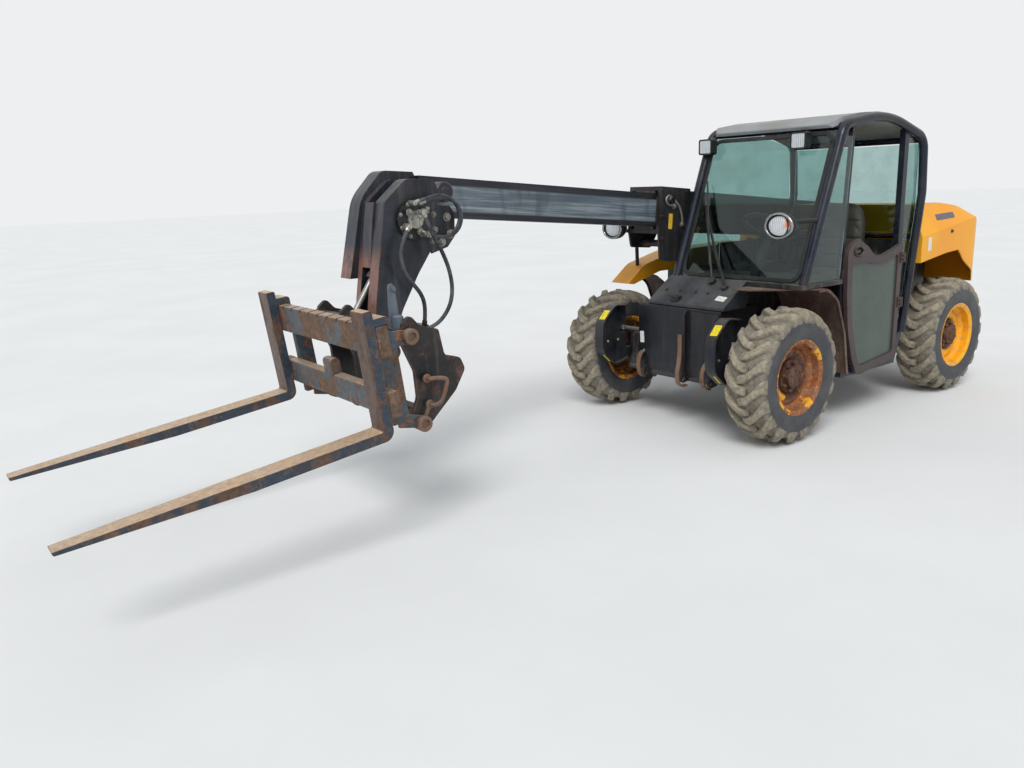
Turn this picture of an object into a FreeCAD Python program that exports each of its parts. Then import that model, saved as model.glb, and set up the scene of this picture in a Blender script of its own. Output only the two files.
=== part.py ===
import FreeCAD, Part
import math
import os

from FreeCAD import Vector

# Compact telehandler with pallet forks, modelled in millimetres.
# X points forward, Y to the driver's left, Z up.  While it is built, X is counted from the rear axle
# and Z from the ground; the finished pieces are moved so that the origin is under the middle.

# Wheels and axles
WHEELBASE = 1770.0
TRACK = 1296.0
TYRE_R = 380.0
TYRE_W = 264.0
RIM_FLANGE_R = 212.5
RIM_SEAT_R = 194.0
RIM_WELL_R = 165.0
RIM_W = 244.0
RIM_WALL = 8.0
BEAD_W = 22.0
WELL_HALF = 50.0
DISC_OFFSET = 30.0
DISC_T = 12.0
HUB_R = 92.0
HUB_CAP_R = 62.0
HUB_CAP_LEN = 45.0
SPINDLE_R = 30.0
KINGPIN_Y = 480.0
KINGPIN_R = 20.0
KNUCKLE_R = 45.0
YOKE_HALF = 90.0
YOKE_HALF_X = 44.0
YOKE_T = 30.0
BEAM_HALF = 70.0
BEAM_END_Y = 400.0
BULGE_R = 118.0
STEER_ARM = 110.0
STEER_ARM_T = 20.0
STEER_ROD_R = 12.0
STEER_ROD_Z = 540.0
ROD_EYE_R = 20.0
ROD_EYE_H = 28.0
GUARD_X0 = WHEELBASE + 130.0
GUARD_Y = 440.0
GUARD_BAND = 35.0
GUARD_T = 7.0
RUN_FIT = 0.05
SEAT_GAP = 0.3

# Chassis
RAIL_Y0 = 190.0
RAIL_Y1 = 290.0
RAIL_Z0 = 455.0
RAIL_Z1 = 600.0
CROSS_W = 60.0
CHASSIS_REAR_X = -470.0
CHANNEL_HALF = 22.0
BOX_BACK_X = WHEELBASE - 210.0
BOX_FRONT_X = WHEELBASE + 130.0
BOX_HALF_Y = 320.0
BOX_Z0 = 250.0
BOX_Z1 = 720.0
BOX_STEP = 12.0
BOX_DIVIDER_Y = 90.0
NECK_Y = -40.0

# Cab
CAB_LEFT_Y = 690.0
CAB_RIGHT_Y = -220.0
CAB_TUBE_R = 27.0
HEADER_R = 20.0
GLASS_T = 5.0
PANEL_T = 6.0
CAB_FLOOR_Z = 605.0
STEP_Z = 330.0
DASH_Z = 845.0
DASH_T = 25.0
PILLAR_FOOT = (WHEELBASE - 105.0, 860.0)
PILLAR_TOP = (WHEELBASE - 425.0, 1722.0)
ROOF_CREST = (918.0, 1784.0)
REAR_TOP = (478.0, 1655.0)
REAR_MID = (452.0, 1330.0)
REAR_LOW = (592.0, 470.0)
B_POST_X = 660.0
B_POST_W = 44.0
POST_T = 36.0
FRONT_POST_LOW_X = WHEELBASE - 472.0
FRONT_POST_TOP_X = WHEELBASE - 538.0
SILL_Z = 290.0
BULKHEAD_X = WHEELBASE - 548.0
WELL_Y = 300.0
DOOR_T = 24.0
DOOR_FIT = 3.0
DOOR_HINGE_X = 660.0
SEAT_Y = 235.0
COLUMN_Y = 210.0
WHEEL_CENTRE = (WHEELBASE - 480.0, 1150.0)
WHEEL_R = 170.0
WHEEL_LEAN_DEG = 30.0

# Rear body
BONNET_LEFT_Y = 700.0
BONNET_RIGHT_Y = -245.0
BONNET_WALL = 8.0
BONNET_FRONT_X = 420.0
BONNET_REAR_X = -455.0
BONNET_TOP_Z = 1252.0
WING_Y = 348.0
POD_LEFT_Y = -560.0
POD_RIGHT_Y = -720.0
POD_FRONT_X = WHEELBASE - 570.0
HOOD_T = 6.0
CLEVIS_Y = 20.0
CLEVIS_Z = 520.0
CLEVIS_R = 14.0
GUARD_TOP_Z = 836.0
SHEET_T = 6.0

# Boom, in its own line: u runs forward from the pivot, w is square to it
BOOM_Y = -400.0
BOOM_PIVOT = (-300.0, 1100.0)
BOOM_REST_DEG = 4.9
OUTER_W = 240.0
OUTER_H = 260.0
OUTER_WALL = 12.0
OUTER_REAR_U = -130.0
OUTER_FRONT_U = 2078.0
INNER_W = 196.0
INNER_H = 202.0
INNER_WALL = 10.0
INNER_REAR_U = 1655.0
INNER_FRONT_U = 3790.0
COLLAR_LEN = 268.0
COLLAR_T = 14.0
COLLAR_DROP = 312.0
COLLAR_DROP_FAR = 235.0
PAD_LEN = 120.0
PAD_HALF = 80.0
BOOM_PIN_R = 35.0
TOWER_T = 18.0
TOWER_GAP = 6.0
TOWER_BASE_Z = 790.0

# Cylinders
LIFT_BASE = (700.0, 450.0)
LIFT_EYE_U = 420.0
LIFT_EYE_W = -235.0
LIFT_BARREL_R = 45.0
LIFT_ROD_R = 25.0
LIFT_EYE_R = 38.0
LIFT_PIN_R = 18.0
LIFT_BARREL_LEN = 590.0
TILT_HEAD = (3520.0, 1430.0)
TILT_EYE = (3902.0, 880.0)
TILT_BARREL_R = 30.0
TILT_ROD_R = 16.0
TILT_EYE_R = 25.0
TILT_PIN_R = 12.0
TILT_BARREL_LEN = 470.0
CYL_EYE_W = 44.0
ROD_IN = 0.29
GLAND_LEN = 26.0
GLAND_RIM = 3.0
EAR_T = 14.0
EAR_GAP = 5.0

# Nose and carriage
TILT_PIVOT = (3805.0, 672.0)
TILT_PIVOT_R = 28.0
NOSE_FAR_Y = -450.0
NOSE_STEP_Y = -345.0
SLOT_FAR_Y = -305.0
SLOT_NEAR_Y = -225.0
NOSE_NEAR_Y = -140.0
FLANGE_AT = (3615.0, 1317.0)
FLANGE_R = 93.0
FLANGE_T = 20.0
FITTING_LEN = 24.0
PLATE_T = 20.0
CARRIAGE_NEAR_Y = 430.0
CARRIAGE_FAR_Y = -371.0
CARRIAGE_MID_Y = -114.0
UPPER_PIN = (4015.0, 879.0)
LOWER_PIN = (3975.0, 505.0)
LOCK_PIN_R = 16.0

# Forks, in their own frame: a runs along the blade, b up the shank, from the inner heel corner
FORK_HEEL = (4214.0, 537.0)
FORK_TILT_DEG = 7.1
FORK_LEN = 1200.0
FORK_SHANK = 481.0
FORK_W = 100.0
FORK_TIP_W = 72.0
FORK_T = 42.0
FORK_TIP_T = 14.0
FORK_TAPER_FROM = 0.45
FORK_NEAR_Y = 501.0
FORK_FAR_Y = -441.0
FORK_BACK_FIT = 3.0
FRAME_BAR_T = 50.0
FRAME_POST_T = 36.0
FRAME_MID_Y = (FORK_NEAR_Y + FORK_FAR_Y) / 2.0
FRAME_HALF_Y = (FORK_NEAR_Y - FORK_FAR_Y + FORK_W) / 2.0 - 1.0
NOTCH_PITCH = 92.0
NOTCH_W = 12.0
NOTCH_DEPTH = 14.0

REAR_END_X = -620.0
TIP_X = FORK_HEEL[0] + FORK_LEN * math.cos(math.radians(FORK_TILT_DEG))
MID_X = (TIP_X + REAR_END_X) / 2.0
AXLE_Z = TYRE_R

os.makedirs("parts", exist_ok=True)


def save(name, *solids):
    """Move the pieces of one node to the row frame and write them."""
    shape = solids[0] if len(solids) == 1 else Part.makeCompound(list(solids))
    shape = shape.copy()
    shape.translate(Vector(-MID_X, 0, 0))
    shape.exportStep("parts/%s.step" % name)


def box(x0, x1, y0, y1, z0, z1):
    """Box between two corners."""
    return Part.makeBox(x1 - x0, y1 - y0, z1 - z0, Vector(x0, y0, z0))


def outline_wire(corners, place):
    """Closed wire through (a, b) corners; a third number is the radius of a tangent arc at that corner.
    place turns an (a, b) vector into a point in space."""
    stops = []
    for i, corner in enumerate(corners):
        here = Vector(corner[0], corner[1], 0)
        if len(corner) < 3:
            stops.append((here, None, here))
            continue
        before = corners[i - 1]
        after = corners[(i + 1) % len(corners)]
        back = (Vector(before[0], before[1], 0) - here).normalize()
        ahead = (Vector(after[0], after[1], 0) - here).normalize()
        half = back.getAngle(ahead) / 2.0
        cut = corner[2] / math.tan(half)
        middle = here + (back + ahead).normalize() * (corner[2] / math.sin(half) - corner[2])
        stops.append((here + back * cut, middle, here + ahead * cut))
    edges = []
    for i, (start, middle, end) in enumerate(stops):
        if middle is not None:
            edges.append(Part.Arc(place(start), place(middle), place(end)).toShape())
        following = stops[(i + 1) % len(stops)][0]
        if (following - end).Length > 1e-4:
            edges.append(Part.LineSegment(place(end), place(following)).toShape())
    return Part.Wire(edges)


def plate_y(corners, y0, y1):
    """Extrude an outline drawn in X and Z along Y."""
    wire = outline_wire(corners, lambda v: Vector(v.x, y0, v.y))
    return Part.Face(wire).extrude(Vector(0, y1 - y0, 0))


def plate_z(corners, z0, z1):
    """Extrude an outline drawn in X and Y upwards."""
    wire = outline_wire(corners, lambda v: Vector(v.x, v.y, z0))
    return Part.Face(wire).extrude(Vector(0, 0, z1 - z0))


def plate_x(corners, x0, x1):
    """Extrude an outline drawn in Y and Z along X."""
    wire = outline_wire(corners, lambda v: Vector(x0, v.x, v.y))
    return Part.Face(wire).extrude(Vector(x1 - x0, 0, 0))


def bent_sheet(line, thickness):
    """Outline of a folded sheet: a line of (a, b) or (a, b, radius) points, and the same line set off to its
    left by the thickness, with each bend's radius changed to match."""
    spots = [Vector(p[0], p[1], 0) for p in line]
    runs = [(spots[i + 1] - spots[i]).normalize() for i in range(len(spots) - 1)]
    sides = [Vector(-d.y, d.x, 0) for d in runs]
    offset = [spots[0] + sides[0] * thickness]
    corners = [(offset[0].x, offset[0].y)]
    for i in range(1, len(spots) - 1):
        middle = (sides[i - 1] + sides[i]).normalize()
        point = spots[i] + middle * (thickness / middle.dot(sides[i]))
        if len(line[i]) < 3:
            corners.append((point.x, point.y))
            continue
        turn = runs[i - 1].x * runs[i].y - runs[i - 1].y * runs[i].x
        corners.append((point.x, point.y, line[i][2] - math.copysign(thickness, turn)))
    last = spots[-1] + sides[-1] * thickness
    corners.append((last.x, last.y))
    return list(line) + corners[::-1]


def rod(start, end, radius):
    """Round bar between two points."""
    a = Vector(*start)
    b = Vector(*end)
    return Part.makeCylinder(radius, (b - a).Length, a, b - a)


def pin_y(x, z, radius, y0, y1):
    """Round bar along Y."""
    return Part.makeCylinder(radius, y1 - y0, Vector(x, y0, z), Vector(0, 1, 0))


def fuse(first, *others):
    """Join pieces that carry each other into one solid."""
    shape = first.multiFuse(list(others))
    return shape.removeSplitter()


def turned(shape, centre, degrees):
    """Turn a piece in the X-Z plane, nose up for positive angles, about a point given as X, Z."""
    out = shape.copy()
    out.rotate(Vector(centre[0], 0, centre[1]), Vector(0, 1, 0), -degrees)
    return out


def bent_path(points, radii):
    """Wire of straight runs joined by tangent arcs."""
    pts = [Vector(*p) for p in points]
    edges = []
    here = pts[0]
    for i in range(1, len(pts) - 1):
        back = (pts[i - 1] - pts[i]).normalize()
        ahead = (pts[i + 1] - pts[i]).normalize()
        half = back.getAngle(ahead) / 2.0
        cut = radii[i - 1] / math.tan(half)
        start = pts[i] + back * cut
        end = pts[i] + ahead * cut
        middle_dir = (back + ahead).normalize()
        middle = pts[i] + middle_dir * (radii[i - 1] / math.sin(half) - radii[i - 1])
        edges.append(Part.LineSegment(here, start).toShape())
        edges.append(Part.Arc(start, middle, end).toShape())
        here = end
    edges.append(Part.LineSegment(here, pts[-1]).toShape())
    return Part.Wire(edges)


def bent_tube(points, radii, radius):
    """Round bar along a bent path."""
    path = bent_path(points, radii)
    first = Vector(*points[0])
    along = Vector(*points[1]) - first
    ring = Part.Wire([Part.makeCircle(radius, first, along)])
    return path.makePipeShell([ring], True, False)


def hose_radii(points):
    """Bend radii of a hose: each arc as large as 0.45 of its shorter run allows."""
    pts = [Vector(*p) for p in points]
    radii = []
    for i in range(1, len(pts) - 1):
        back = pts[i - 1] - pts[i]
        ahead = pts[i + 1] - pts[i]
        half_turn = (math.pi - back.getAngle(ahead)) / 2.0
        radii.append(0.45 * min(back.Length, ahead.Length) / math.tan(half_turn))
    return radii


def mirrored_y(shape):
    """Mirror a piece from the left side to the right side."""
    return shape.mirror(Vector(0, 0, 0), Vector(0, 1, 0))


def in_order(a, b):
    """Two numbers, the smaller first."""
    return (a, b) if a < b else (b, a)


# Wheels: rim, disc and hub, and a lugged tyre that sits on the rim
def ring_profile(points, centre_x, centre_y):
    """Turn a closed outline of radius and offset pairs about a wheel's axle line."""
    pts = [Vector(centre_x, centre_y + off, AXLE_Z + r) for r, off in points]
    face = Part.Face(Part.makePolygon(pts + [pts[0]]))
    return face.revolve(Vector(centre_x, centre_y, AXLE_Z), Vector(0, 1, 0), 360)


RIM_HALF = RIM_W / 2.0
# One side of the rim's outer face from the flange to the well: radius, offset from the middle
RIM_STEPS = [(RIM_FLANGE_R, RIM_HALF), (RIM_SEAT_R, RIM_HALF - BEAD_W / 2.0), (RIM_SEAT_R, WELL_HALF + BEAD_W),
             (RIM_WELL_R + RIM_WALL, WELL_HALF)]
# The disc's outer face from the hub to the rim: radius, how far it bulges outwards from the hub face
DISC_STEPS = [(HUB_R + 4.0, 0.0), (118.0, 16.0), (146.0, 16.0), (RIM_WELL_R + RIM_WALL / 2.0, 2.0)]


def rim_piece(axle_x, side):
    """Rim, dished disc, hub and hub cap for one corner; side is 1 on the left and -1 on the right."""
    mid = side * TRACK / 2.0
    outer = [(r, -off) for r, off in RIM_STEPS] + [(r, off) for r, off in reversed(RIM_STEPS)]
    inner = [(r - RIM_WALL, off) for r, off in reversed(outer)]
    barrel = ring_profile(outer + inner, axle_x, mid)
    face = mid + side * (DISC_OFFSET + DISC_T)
    front = [(r, face - mid + side * bulge) for r, bulge in DISC_STEPS]
    back = [(r, off - side * DISC_T) for r, off in reversed(front)]
    disc = ring_profile(front + back, axle_x, mid)
    hub_in = mid - side * 20.0
    hub = pin_y(axle_x, AXLE_Z, HUB_R + 6.0, *in_order(face - side * DISC_T, face))
    drum = pin_y(axle_x, AXLE_Z, HUB_R, *in_order(hub_in, face + side * 18.0))
    cap = pin_y(axle_x, AXLE_Z, HUB_CAP_R, *in_order(face, face + side * HUB_CAP_LEN))
    bore = pin_y(axle_x, AXLE_Z, SPINDLE_R + RUN_FIT, *in_order(hub_in - side, mid + side * 20.0))
    return fuse(barrel, disc, hub, drum, cap).cut(bore)


TYRE_PITCHES = 18
PITCH = 2.0 * math.pi / TYRE_PITCHES
# Across one half of the tread: offset from the middle, casing radius, lug radius, how far the lug has swept
# in degrees, half width of its foot and of its top
TREAD_RINGS = [
    (12.0, 352.0, TYRE_R, 0.0, 18.0, 14.0),
    (62.0, 350.0, TYRE_R, 9.5, 21.0, 16.0),
    (112.0, 341.0, 373.0, 14.5, 25.0, 19.0),
]
# Turned so that one lug point stands at the very bottom of the wheel
TREAD_START = -math.pi / 2.0 - math.radians(TREAD_RINGS[1][3]) + TREAD_RINGS[1][5] / TREAD_RINGS[1][2]
# Side wall inwards from the lugs' feet: offset, radius, sweep in degrees, half width between its two points
FLAT = 1.0 / math.cos(PITCH / 4.0)
WALL_RINGS = [
    (TYRE_W / 2.0, 312.0, 16.0, PITCH * 312.0 / 4.0),
    (RIM_HALF - 2.0, (RIM_FLANGE_R + SEAT_GAP) * FLAT, 16.0, PITCH * RIM_FLANGE_R / 4.0),
    (RIM_HALF - BEAD_W, (RIM_SEAT_R + SEAT_GAP) * FLAT, 16.0, PITCH * RIM_SEAT_R / 4.0),
]


def tyre_piece(axle_x, side):
    """Lugged tyre as one faceted solid: a pitch of tread, left and right, repeated round the wheel.
    Lugs slant outwards from the middle and the two sides are half a pitch apart."""
    mid = side * TRACK / 2.0

    def spot(angle, radius, offset):
        return Vector(axle_x + radius * math.cos(angle), mid + offset, AXLE_Z + radius * math.sin(angle))

    faces = []

    def tri(a, b, c):
        faces.append(Part.Face(Part.makePolygon([a, b, c, a])))

    def quad(a, b, c, d):
        tri(a, b, c)
        tri(a, c, d)

    def row(ring_side, index, pitch_no):
        """The four points of one lug at a tread ring: foot, top, top, foot."""
        offset, casing, top, sweep, foot_w, top_w = TREAD_RINGS[index]
        at = (pitch_no + (0.5 if ring_side < 0 else 0.0)) * PITCH + math.radians(sweep) + TREAD_START
        return [spot(at - foot_w / casing, casing, ring_side * offset), spot(at - top_w / top, top, ring_side * offset),
                spot(at + top_w / top, top, ring_side * offset), spot(at + foot_w / casing, casing, ring_side * offset)]

    def pair(ring_side, index, pitch_no):
        """The two points of one pitch at a side wall ring."""
        offset, radius, sweep, half = WALL_RINGS[index]
        at = (pitch_no + (0.5 if ring_side < 0 else 0.0)) * PITCH + math.radians(sweep) + TREAD_START
        return spot(at - half / radius, radius, ring_side * offset), spot(at + half / radius, radius, ring_side * offset)

    middle = [spot(k * PITCH / 2.0 + TREAD_START, TREAD_RINGS[0][1], 0.0) for k in range(2 * TYRE_PITCHES)]
    for ring_side in (1, -1):
        for k in range(TYRE_PITCHES):
            c = 2 * k + (1 if ring_side < 0 else 0)
            c0, c1, c2 = (middle[(c + step) % len(middle)] for step in (0, 1, 2))
            lug = [row(ring_side, i, k) for i in range(len(TREAD_RINGS))]
            after = [row(ring_side, i, k + 1) for i in range(len(TREAD_RINGS))]
            quad(lug[0][0], lug[0][1], lug[0][2], lug[0][3])
            tri(c0, lug[0][0], lug[0][3])
            tri(c0, lug[0][3], c1)
            tri(lug[0][3], after[0][0], c1)
            tri(c1, after[0][0], c2)
            for i in range(len(TREAD_RINGS) - 1):
                for j in range(3):
                    quad(lug[i][j], lug[i][j + 1], lug[i + 1][j + 1], lug[i + 1][j])
                quad(lug[i][3], after[i][0], after[i + 1][0], lug[i + 1][3])
            foot, end = lug[-1], pair(ring_side, 0, k)
            end_after = pair(ring_side, 0, k + 1)
            tri(foot[0], foot[1], end[0])
            quad(foot[1], foot[2], end[1], end[0])
            tri(foot[2], foot[3], end[1])
            quad(foot[3], after[-1][0], end_after[0], end[1])
            for i in range(len(WALL_RINGS) - 1):
                now, inner = pair(ring_side, i, k), pair(ring_side, i + 1, k)
                after_now = pair(ring_side, i, k + 1)
                after_inner = pair(ring_side, i + 1, k + 1)
                quad(now[0], now[1], inner[1], inner[0])
                quad(now[1], after_now[0], after_inner[0], inner[1])
    last = len(WALL_RINGS) - 1
    left = [p for k in range(TYRE_PITCHES) for p in pair(1, last, k)]
    right = [p for k in range(TYRE_PITCHES) for p in pair(-1, last, k)]
    right = right[-1:] + right[:-1]
    for k in range(len(left)):
        quad(left[k], left[(k + 1) % len(left)], right[(k + 1) % len(right)], right[k])
    solid = Part.Solid(Part.Shell(faces))
    if solid.Volume < 0:
        solid.reverse()
    return solid


def knuckle_piece(axle_x, side, forward, guard):
    """Steering knuckle: barrel on the kingpin, spindle, the steering arm on top and, at the front, a guard."""
    ky = side * KINGPIN_Y
    top = AXLE_Z + YOKE_HALF + YOKE_T
    barrel = Part.makeCylinder(KNUCKLE_R, 2 * (YOKE_HALF - SEAT_GAP),
                               Vector(axle_x, ky, AXLE_Z - YOKE_HALF + SEAT_GAP))
    pin = Part.makeCylinder(KINGPIN_R, 2 * (YOKE_HALF + YOKE_T) + 10.0,
                            Vector(axle_x, ky, AXLE_Z - YOKE_HALF - YOKE_T))
    spindle = pin_y(axle_x, AXLE_Z, SPINDLE_R, *in_order(ky, side * (TRACK / 2.0 + 18.0)))
    arm_z0 = top + 1.0
    tip_x = axle_x + forward * (STEER_ARM + ROD_EYE_R)
    arm = plate_z([(axle_x - forward * 26, ky - 24, 20), (tip_x, ky - 18, 16), (tip_x, ky + 18, 16),
                   (axle_x - forward * 26, ky + 24, 20)], arm_z0, arm_z0 + STEER_ARM_T)
    pieces = [pin, spindle, arm]
    if guard:
        mid_y = side * GUARD_Y
        outline = [(GUARD_X0, 345), (GUARD_X0 + 120, 320, 60), (GUARD_X0 + 232, 420, 90),
                   (GUARD_X0 + 232, 600, 100), (GUARD_X0 + 120, 705, 60), (GUARD_X0, 690)]
        inner = [(GUARD_X0 - 20, 352 + 4), (GUARD_X0 + 118, 320 + GUARD_T, 56), (GUARD_X0 + 232 - GUARD_T, 423, 84),
                 (GUARD_X0 + 232 - GUARD_T, 597, 94), (GUARD_X0 + 118, 705 - GUARD_T, 54), (GUARD_X0 - 20, 681)]
        web = plate_y(outline, mid_y - 4.0, mid_y + 4.0)
        band = plate_y(outline, mid_y - GUARD_BAND, mid_y + GUARD_BAND)
        band = band.cut(plate_y(inner, mid_y - 60, mid_y + 60))
        arm_bar = plate_z([(axle_x + 20, side * 470), (GUARD_X0, mid_y), (GUARD_X0 + 60, mid_y),
                           (GUARD_X0 + 60, side * 470), (axle_x + 20, side * 505)], 356, 408)
        notch = box(GUARD_X0 - 30, GUARD_X0 + 52, mid_y - 60, mid_y + 60, STEER_ROD_Z - 22, STEER_ROD_Z + 22)
        pieces += [web.cut(notch), band, arm_bar]
    return fuse(barrel, *pieces)


for axle_name, axle_x, forward in (("front", WHEELBASE, 1), ("rear", 0.0, -1)):
    for side_name, side in (("left", 1), ("right", -1)):
        save("%s_%s_rim" % (axle_name, side_name), rim_piece(axle_x, side))
        save("%s_%s_tyre" % (axle_name, side_name), tyre_piece(axle_x, side))
        save("%s_%s_knuckle" % (axle_name, side_name), knuckle_piece(axle_x, side, forward, axle_name == "front"))


def axle_beam(axle_x):
    """Axle housing, deeper at the middle, with a yoke at each end that holds the kingpin."""
    half_z = BEAM_HALF - 20.0
    outline = [(-BEAM_END_Y, AXLE_Z - half_z), (-BEAM_END_Y, AXLE_Z + half_z), (-180, AXLE_Z + BEAM_HALF, 60),
               (180, AXLE_Z + BEAM_HALF, 60), (BEAM_END_Y, AXLE_Z + half_z), (BEAM_END_Y, AXLE_Z - half_z),
               (150, AXLE_Z - BEAM_HALF, 80), (-150, AXLE_Z - BEAM_HALF, 80)]
    beam = plate_x(outline, axle_x - BEAM_HALF + 5.0, axle_x + BEAM_HALF - 5.0)
    parts = []
    for side in (1, -1):
        ky = side * KINGPIN_Y
        y0, y1 = in_order(side * (BEAM_END_Y - 20.0), side * (KINGPIN_Y - KNUCKLE_R - 6.0))
        parts.append(box(axle_x - YOKE_HALF_X, axle_x + YOKE_HALF_X, y0, y1, AXLE_Z - YOKE_HALF - YOKE_T,
                         AXLE_Z + YOKE_HALF + YOKE_T))
        e0, e1 = in_order(side * BEAM_END_Y, ky)
        for z0 in (AXLE_Z + YOKE_HALF, AXLE_Z - YOKE_HALF - YOKE_T):
            parts.append(box(axle_x - YOKE_HALF_X, axle_x + YOKE_HALF_X, e0, e1, z0, z0 + YOKE_T))
            parts.append(Part.makeCylinder(YOKE_HALF_X, YOKE_T, Vector(axle_x, ky, z0)))
    parts.append(Part.makeSphere(BULGE_R, Vector(axle_x, 0, AXLE_Z)).common(
        box(axle_x - BULGE_R, axle_x + BEAM_HALF + 4, -BULGE_R, BULGE_R, AXLE_Z - 100, RAIL_Z0 - 5)))
    whole = fuse(beam, *parts)
    for side in (1, -1):
        whole = whole.cut(Part.makeCylinder(KINGPIN_R + RUN_FIT, 2 * (YOKE_HALF + YOKE_T) + 2,
                                            Vector(axle_x, side * KINGPIN_Y, AXLE_Z - YOKE_HALF - YOKE_T - 1)))
    return whole


save("front_axle_beam", axle_beam(WHEELBASE))
save("rear_axle_beam", axle_beam(0.0))


def steering_rod(axle_x, forward):
    """Through rod of the steering ram, with an eye above each steering arm."""
    x = axle_x + forward * STEER_ARM
    bar = pin_y(x, STEER_ROD_Z, STEER_ROD_R, -KINGPIN_Y + 6, KINGPIN_Y - 6)
    eyes = []
    for side in (1, -1):
        foot = Vector(x, side * KINGPIN_Y, STEER_ROD_Z - ROD_EYE_H / 2.0)
        eyes.append(Part.makeCylinder(ROD_EYE_R, ROD_EYE_H, foot))
    return fuse(bar, *eyes)


save("front_steering_rod", steering_rod(WHEELBASE, 1))
save("rear_steering_rod", steering_rod(0.0, -1))

# Chassis rails with three cross members and the bracket of the lift cylinder
CROSS_X = [CHASSIS_REAR_X, 200.0, BOX_BACK_X - 360.0]
REAR_ROD_X = -STEER_ARM
rails = [box(CHASSIS_REAR_X, BOX_BACK_X, *in_order(side * RAIL_Y0, side * RAIL_Y1), RAIL_Z0, RAIL_Z1)
         for side in (1, -1)]
crosses = [box(x, x + CROSS_W, -RAIL_Y0, RAIL_Y0, RAIL_Z0, RAIL_Z1) for x in CROSS_X]
chassis = fuse(*rails, *crosses)
chassis = chassis.cut(box(REAR_ROD_X - CHANNEL_HALF, REAR_ROD_X + CHANNEL_HALF, -BEAM_END_Y, BEAM_END_Y,
                          STEER_ROD_Z - CHANNEL_HALF, STEER_ROD_Z + CHANNEL_HALF))
lift_y0 = BOOM_Y - CYL_EYE_W / 2.0 - EAR_GAP
lift_y1 = BOOM_Y + CYL_EYE_W / 2.0 + EAR_GAP
BRACKET_HALF = 70.0
BRACKET_Z = 370.0
BRACKET_T = 15.0
lift_x, lift_z = LIFT_BASE
bracket_base = box(lift_x - BRACKET_HALF, lift_x + BRACKET_HALF, lift_y0 - EAR_T, -RAIL_Y0 - 20,
                   BRACKET_Z, BRACKET_Z + BRACKET_T)
bracket_web = box(lift_x - BRACKET_HALF, lift_x + BRACKET_HALF, -RAIL_Y1, -RAIL_Y0 - 20, BRACKET_Z + BRACKET_T,
                  RAIL_Z0)
ears = [plate_y([(lift_x - 60, BRACKET_Z + BRACKET_T), (lift_x + 60, BRACKET_Z + BRACKET_T),
                 (lift_x + 27, lift_z + 23, 24), (lift_x - 27, lift_z + 23, 24)], y0, y0 + EAR_T)
        for y0 in (lift_y0 - EAR_T, lift_y1)]
lift_pin = pin_y(lift_x, lift_z, LIFT_PIN_R, lift_y0 - EAR_T, lift_y1 + EAR_T)
save("chassis_rails", fuse(chassis, bracket_base, bracket_web, lift_pin, *ears))

# Front box: a body with rounded lower corners, a step panel, a divider and lashing eyes
box_side = plate_y([(BOX_BACK_X, BOX_Z0), (BOX_BACK_X, BOX_Z1), (BOX_FRONT_X, BOX_Z1, 18),
                    (BOX_FRONT_X, BOX_Z0 + 52, 30), (BOX_FRONT_X - 60, BOX_Z0, 25)], -BOX_HALF_Y, BOX_HALF_Y)
box_front = plate_x([(-BOX_HALF_Y, BOX_Z0 + 82, 40), (-BOX_HALF_Y + 70, BOX_Z0, 24), (BOX_HALF_Y - 70, BOX_Z0, 24),
                     (BOX_HALF_Y, BOX_Z0 + 82, 40), (BOX_HALF_Y, BOX_Z1, 12), (-BOX_HALF_Y, BOX_Z1, 12)],
                    BOX_BACK_X, BOX_FRONT_X)
front_box = box_side.common(box_front)
front_box = front_box.cut(box(WHEELBASE - BEAM_HALF - 50, WHEELBASE + BEAM_HALF + 10, -BEAM_END_Y, BEAM_END_Y, 0, 508))
rod_x = WHEELBASE + STEER_ARM
front_box = front_box.cut(box(rod_x - CHANNEL_HALF, BOX_FRONT_X - 8, -BEAM_END_Y, BEAM_END_Y,
                              STEER_ROD_Z - CHANNEL_HALF, STEER_ROD_Z + CHANNEL_HALF))
step_panel = plate_x([(BOX_DIVIDER_Y, BOX_Z0 + 62, 15), (BOX_HALF_Y - 3, BOX_Z0 + 62, 15),
                      (BOX_HALF_Y - 3, BOX_Z1 - 22, 15), (BOX_DIVIDER_Y, BOX_Z1 - 22, 15)],
                     BOX_FRONT_X, BOX_FRONT_X + BOX_STEP)
divider = plate_y([(BOX_FRONT_X - 4, BOX_Z0 + 55), (BOX_FRONT_X + 40, BOX_Z0 + 40, 20),
                   (BOX_FRONT_X + 40, BOX_Z1 - 20, 30), (BOX_FRONT_X - 4, BOX_Z1 - 12)],
                  BOX_DIVIDER_Y - 15, BOX_DIVIDER_Y)
EYE_PLATE_T = 14.0
EYE_HOLE_R = 14.0
eyes = []
for eye_y in (-250.0, 60.0, 270.0):
    eye = plate_y([(BOX_FRONT_X - 30, BOX_Z0 + 20), (BOX_FRONT_X + 38, BOX_Z0 + 8, 22),
                   (BOX_FRONT_X + 38, BOX_Z0 + 62, 22), (BOX_FRONT_X - 30, BOX_Z0 + 90)],
                  eye_y - EYE_PLATE_T / 2.0, eye_y + EYE_PLATE_T / 2.0)
    eyes.append(eye.cut(pin_y(BOX_FRONT_X + 13, BOX_Z0 + 35, EYE_HOLE_R, eye_y - 20, eye_y + 20)))
neck_at = Vector(BOX_FRONT_X - 30, NECK_Y, BOX_Z1)
neck = fuse(Part.makeCylinder(26, 30, neck_at), Part.makeCylinder(34, 25, neck_at + Vector(0, 0, 30)))
save("front_box", fuse(front_box, step_panel, divider, neck, *eyes))

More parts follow.
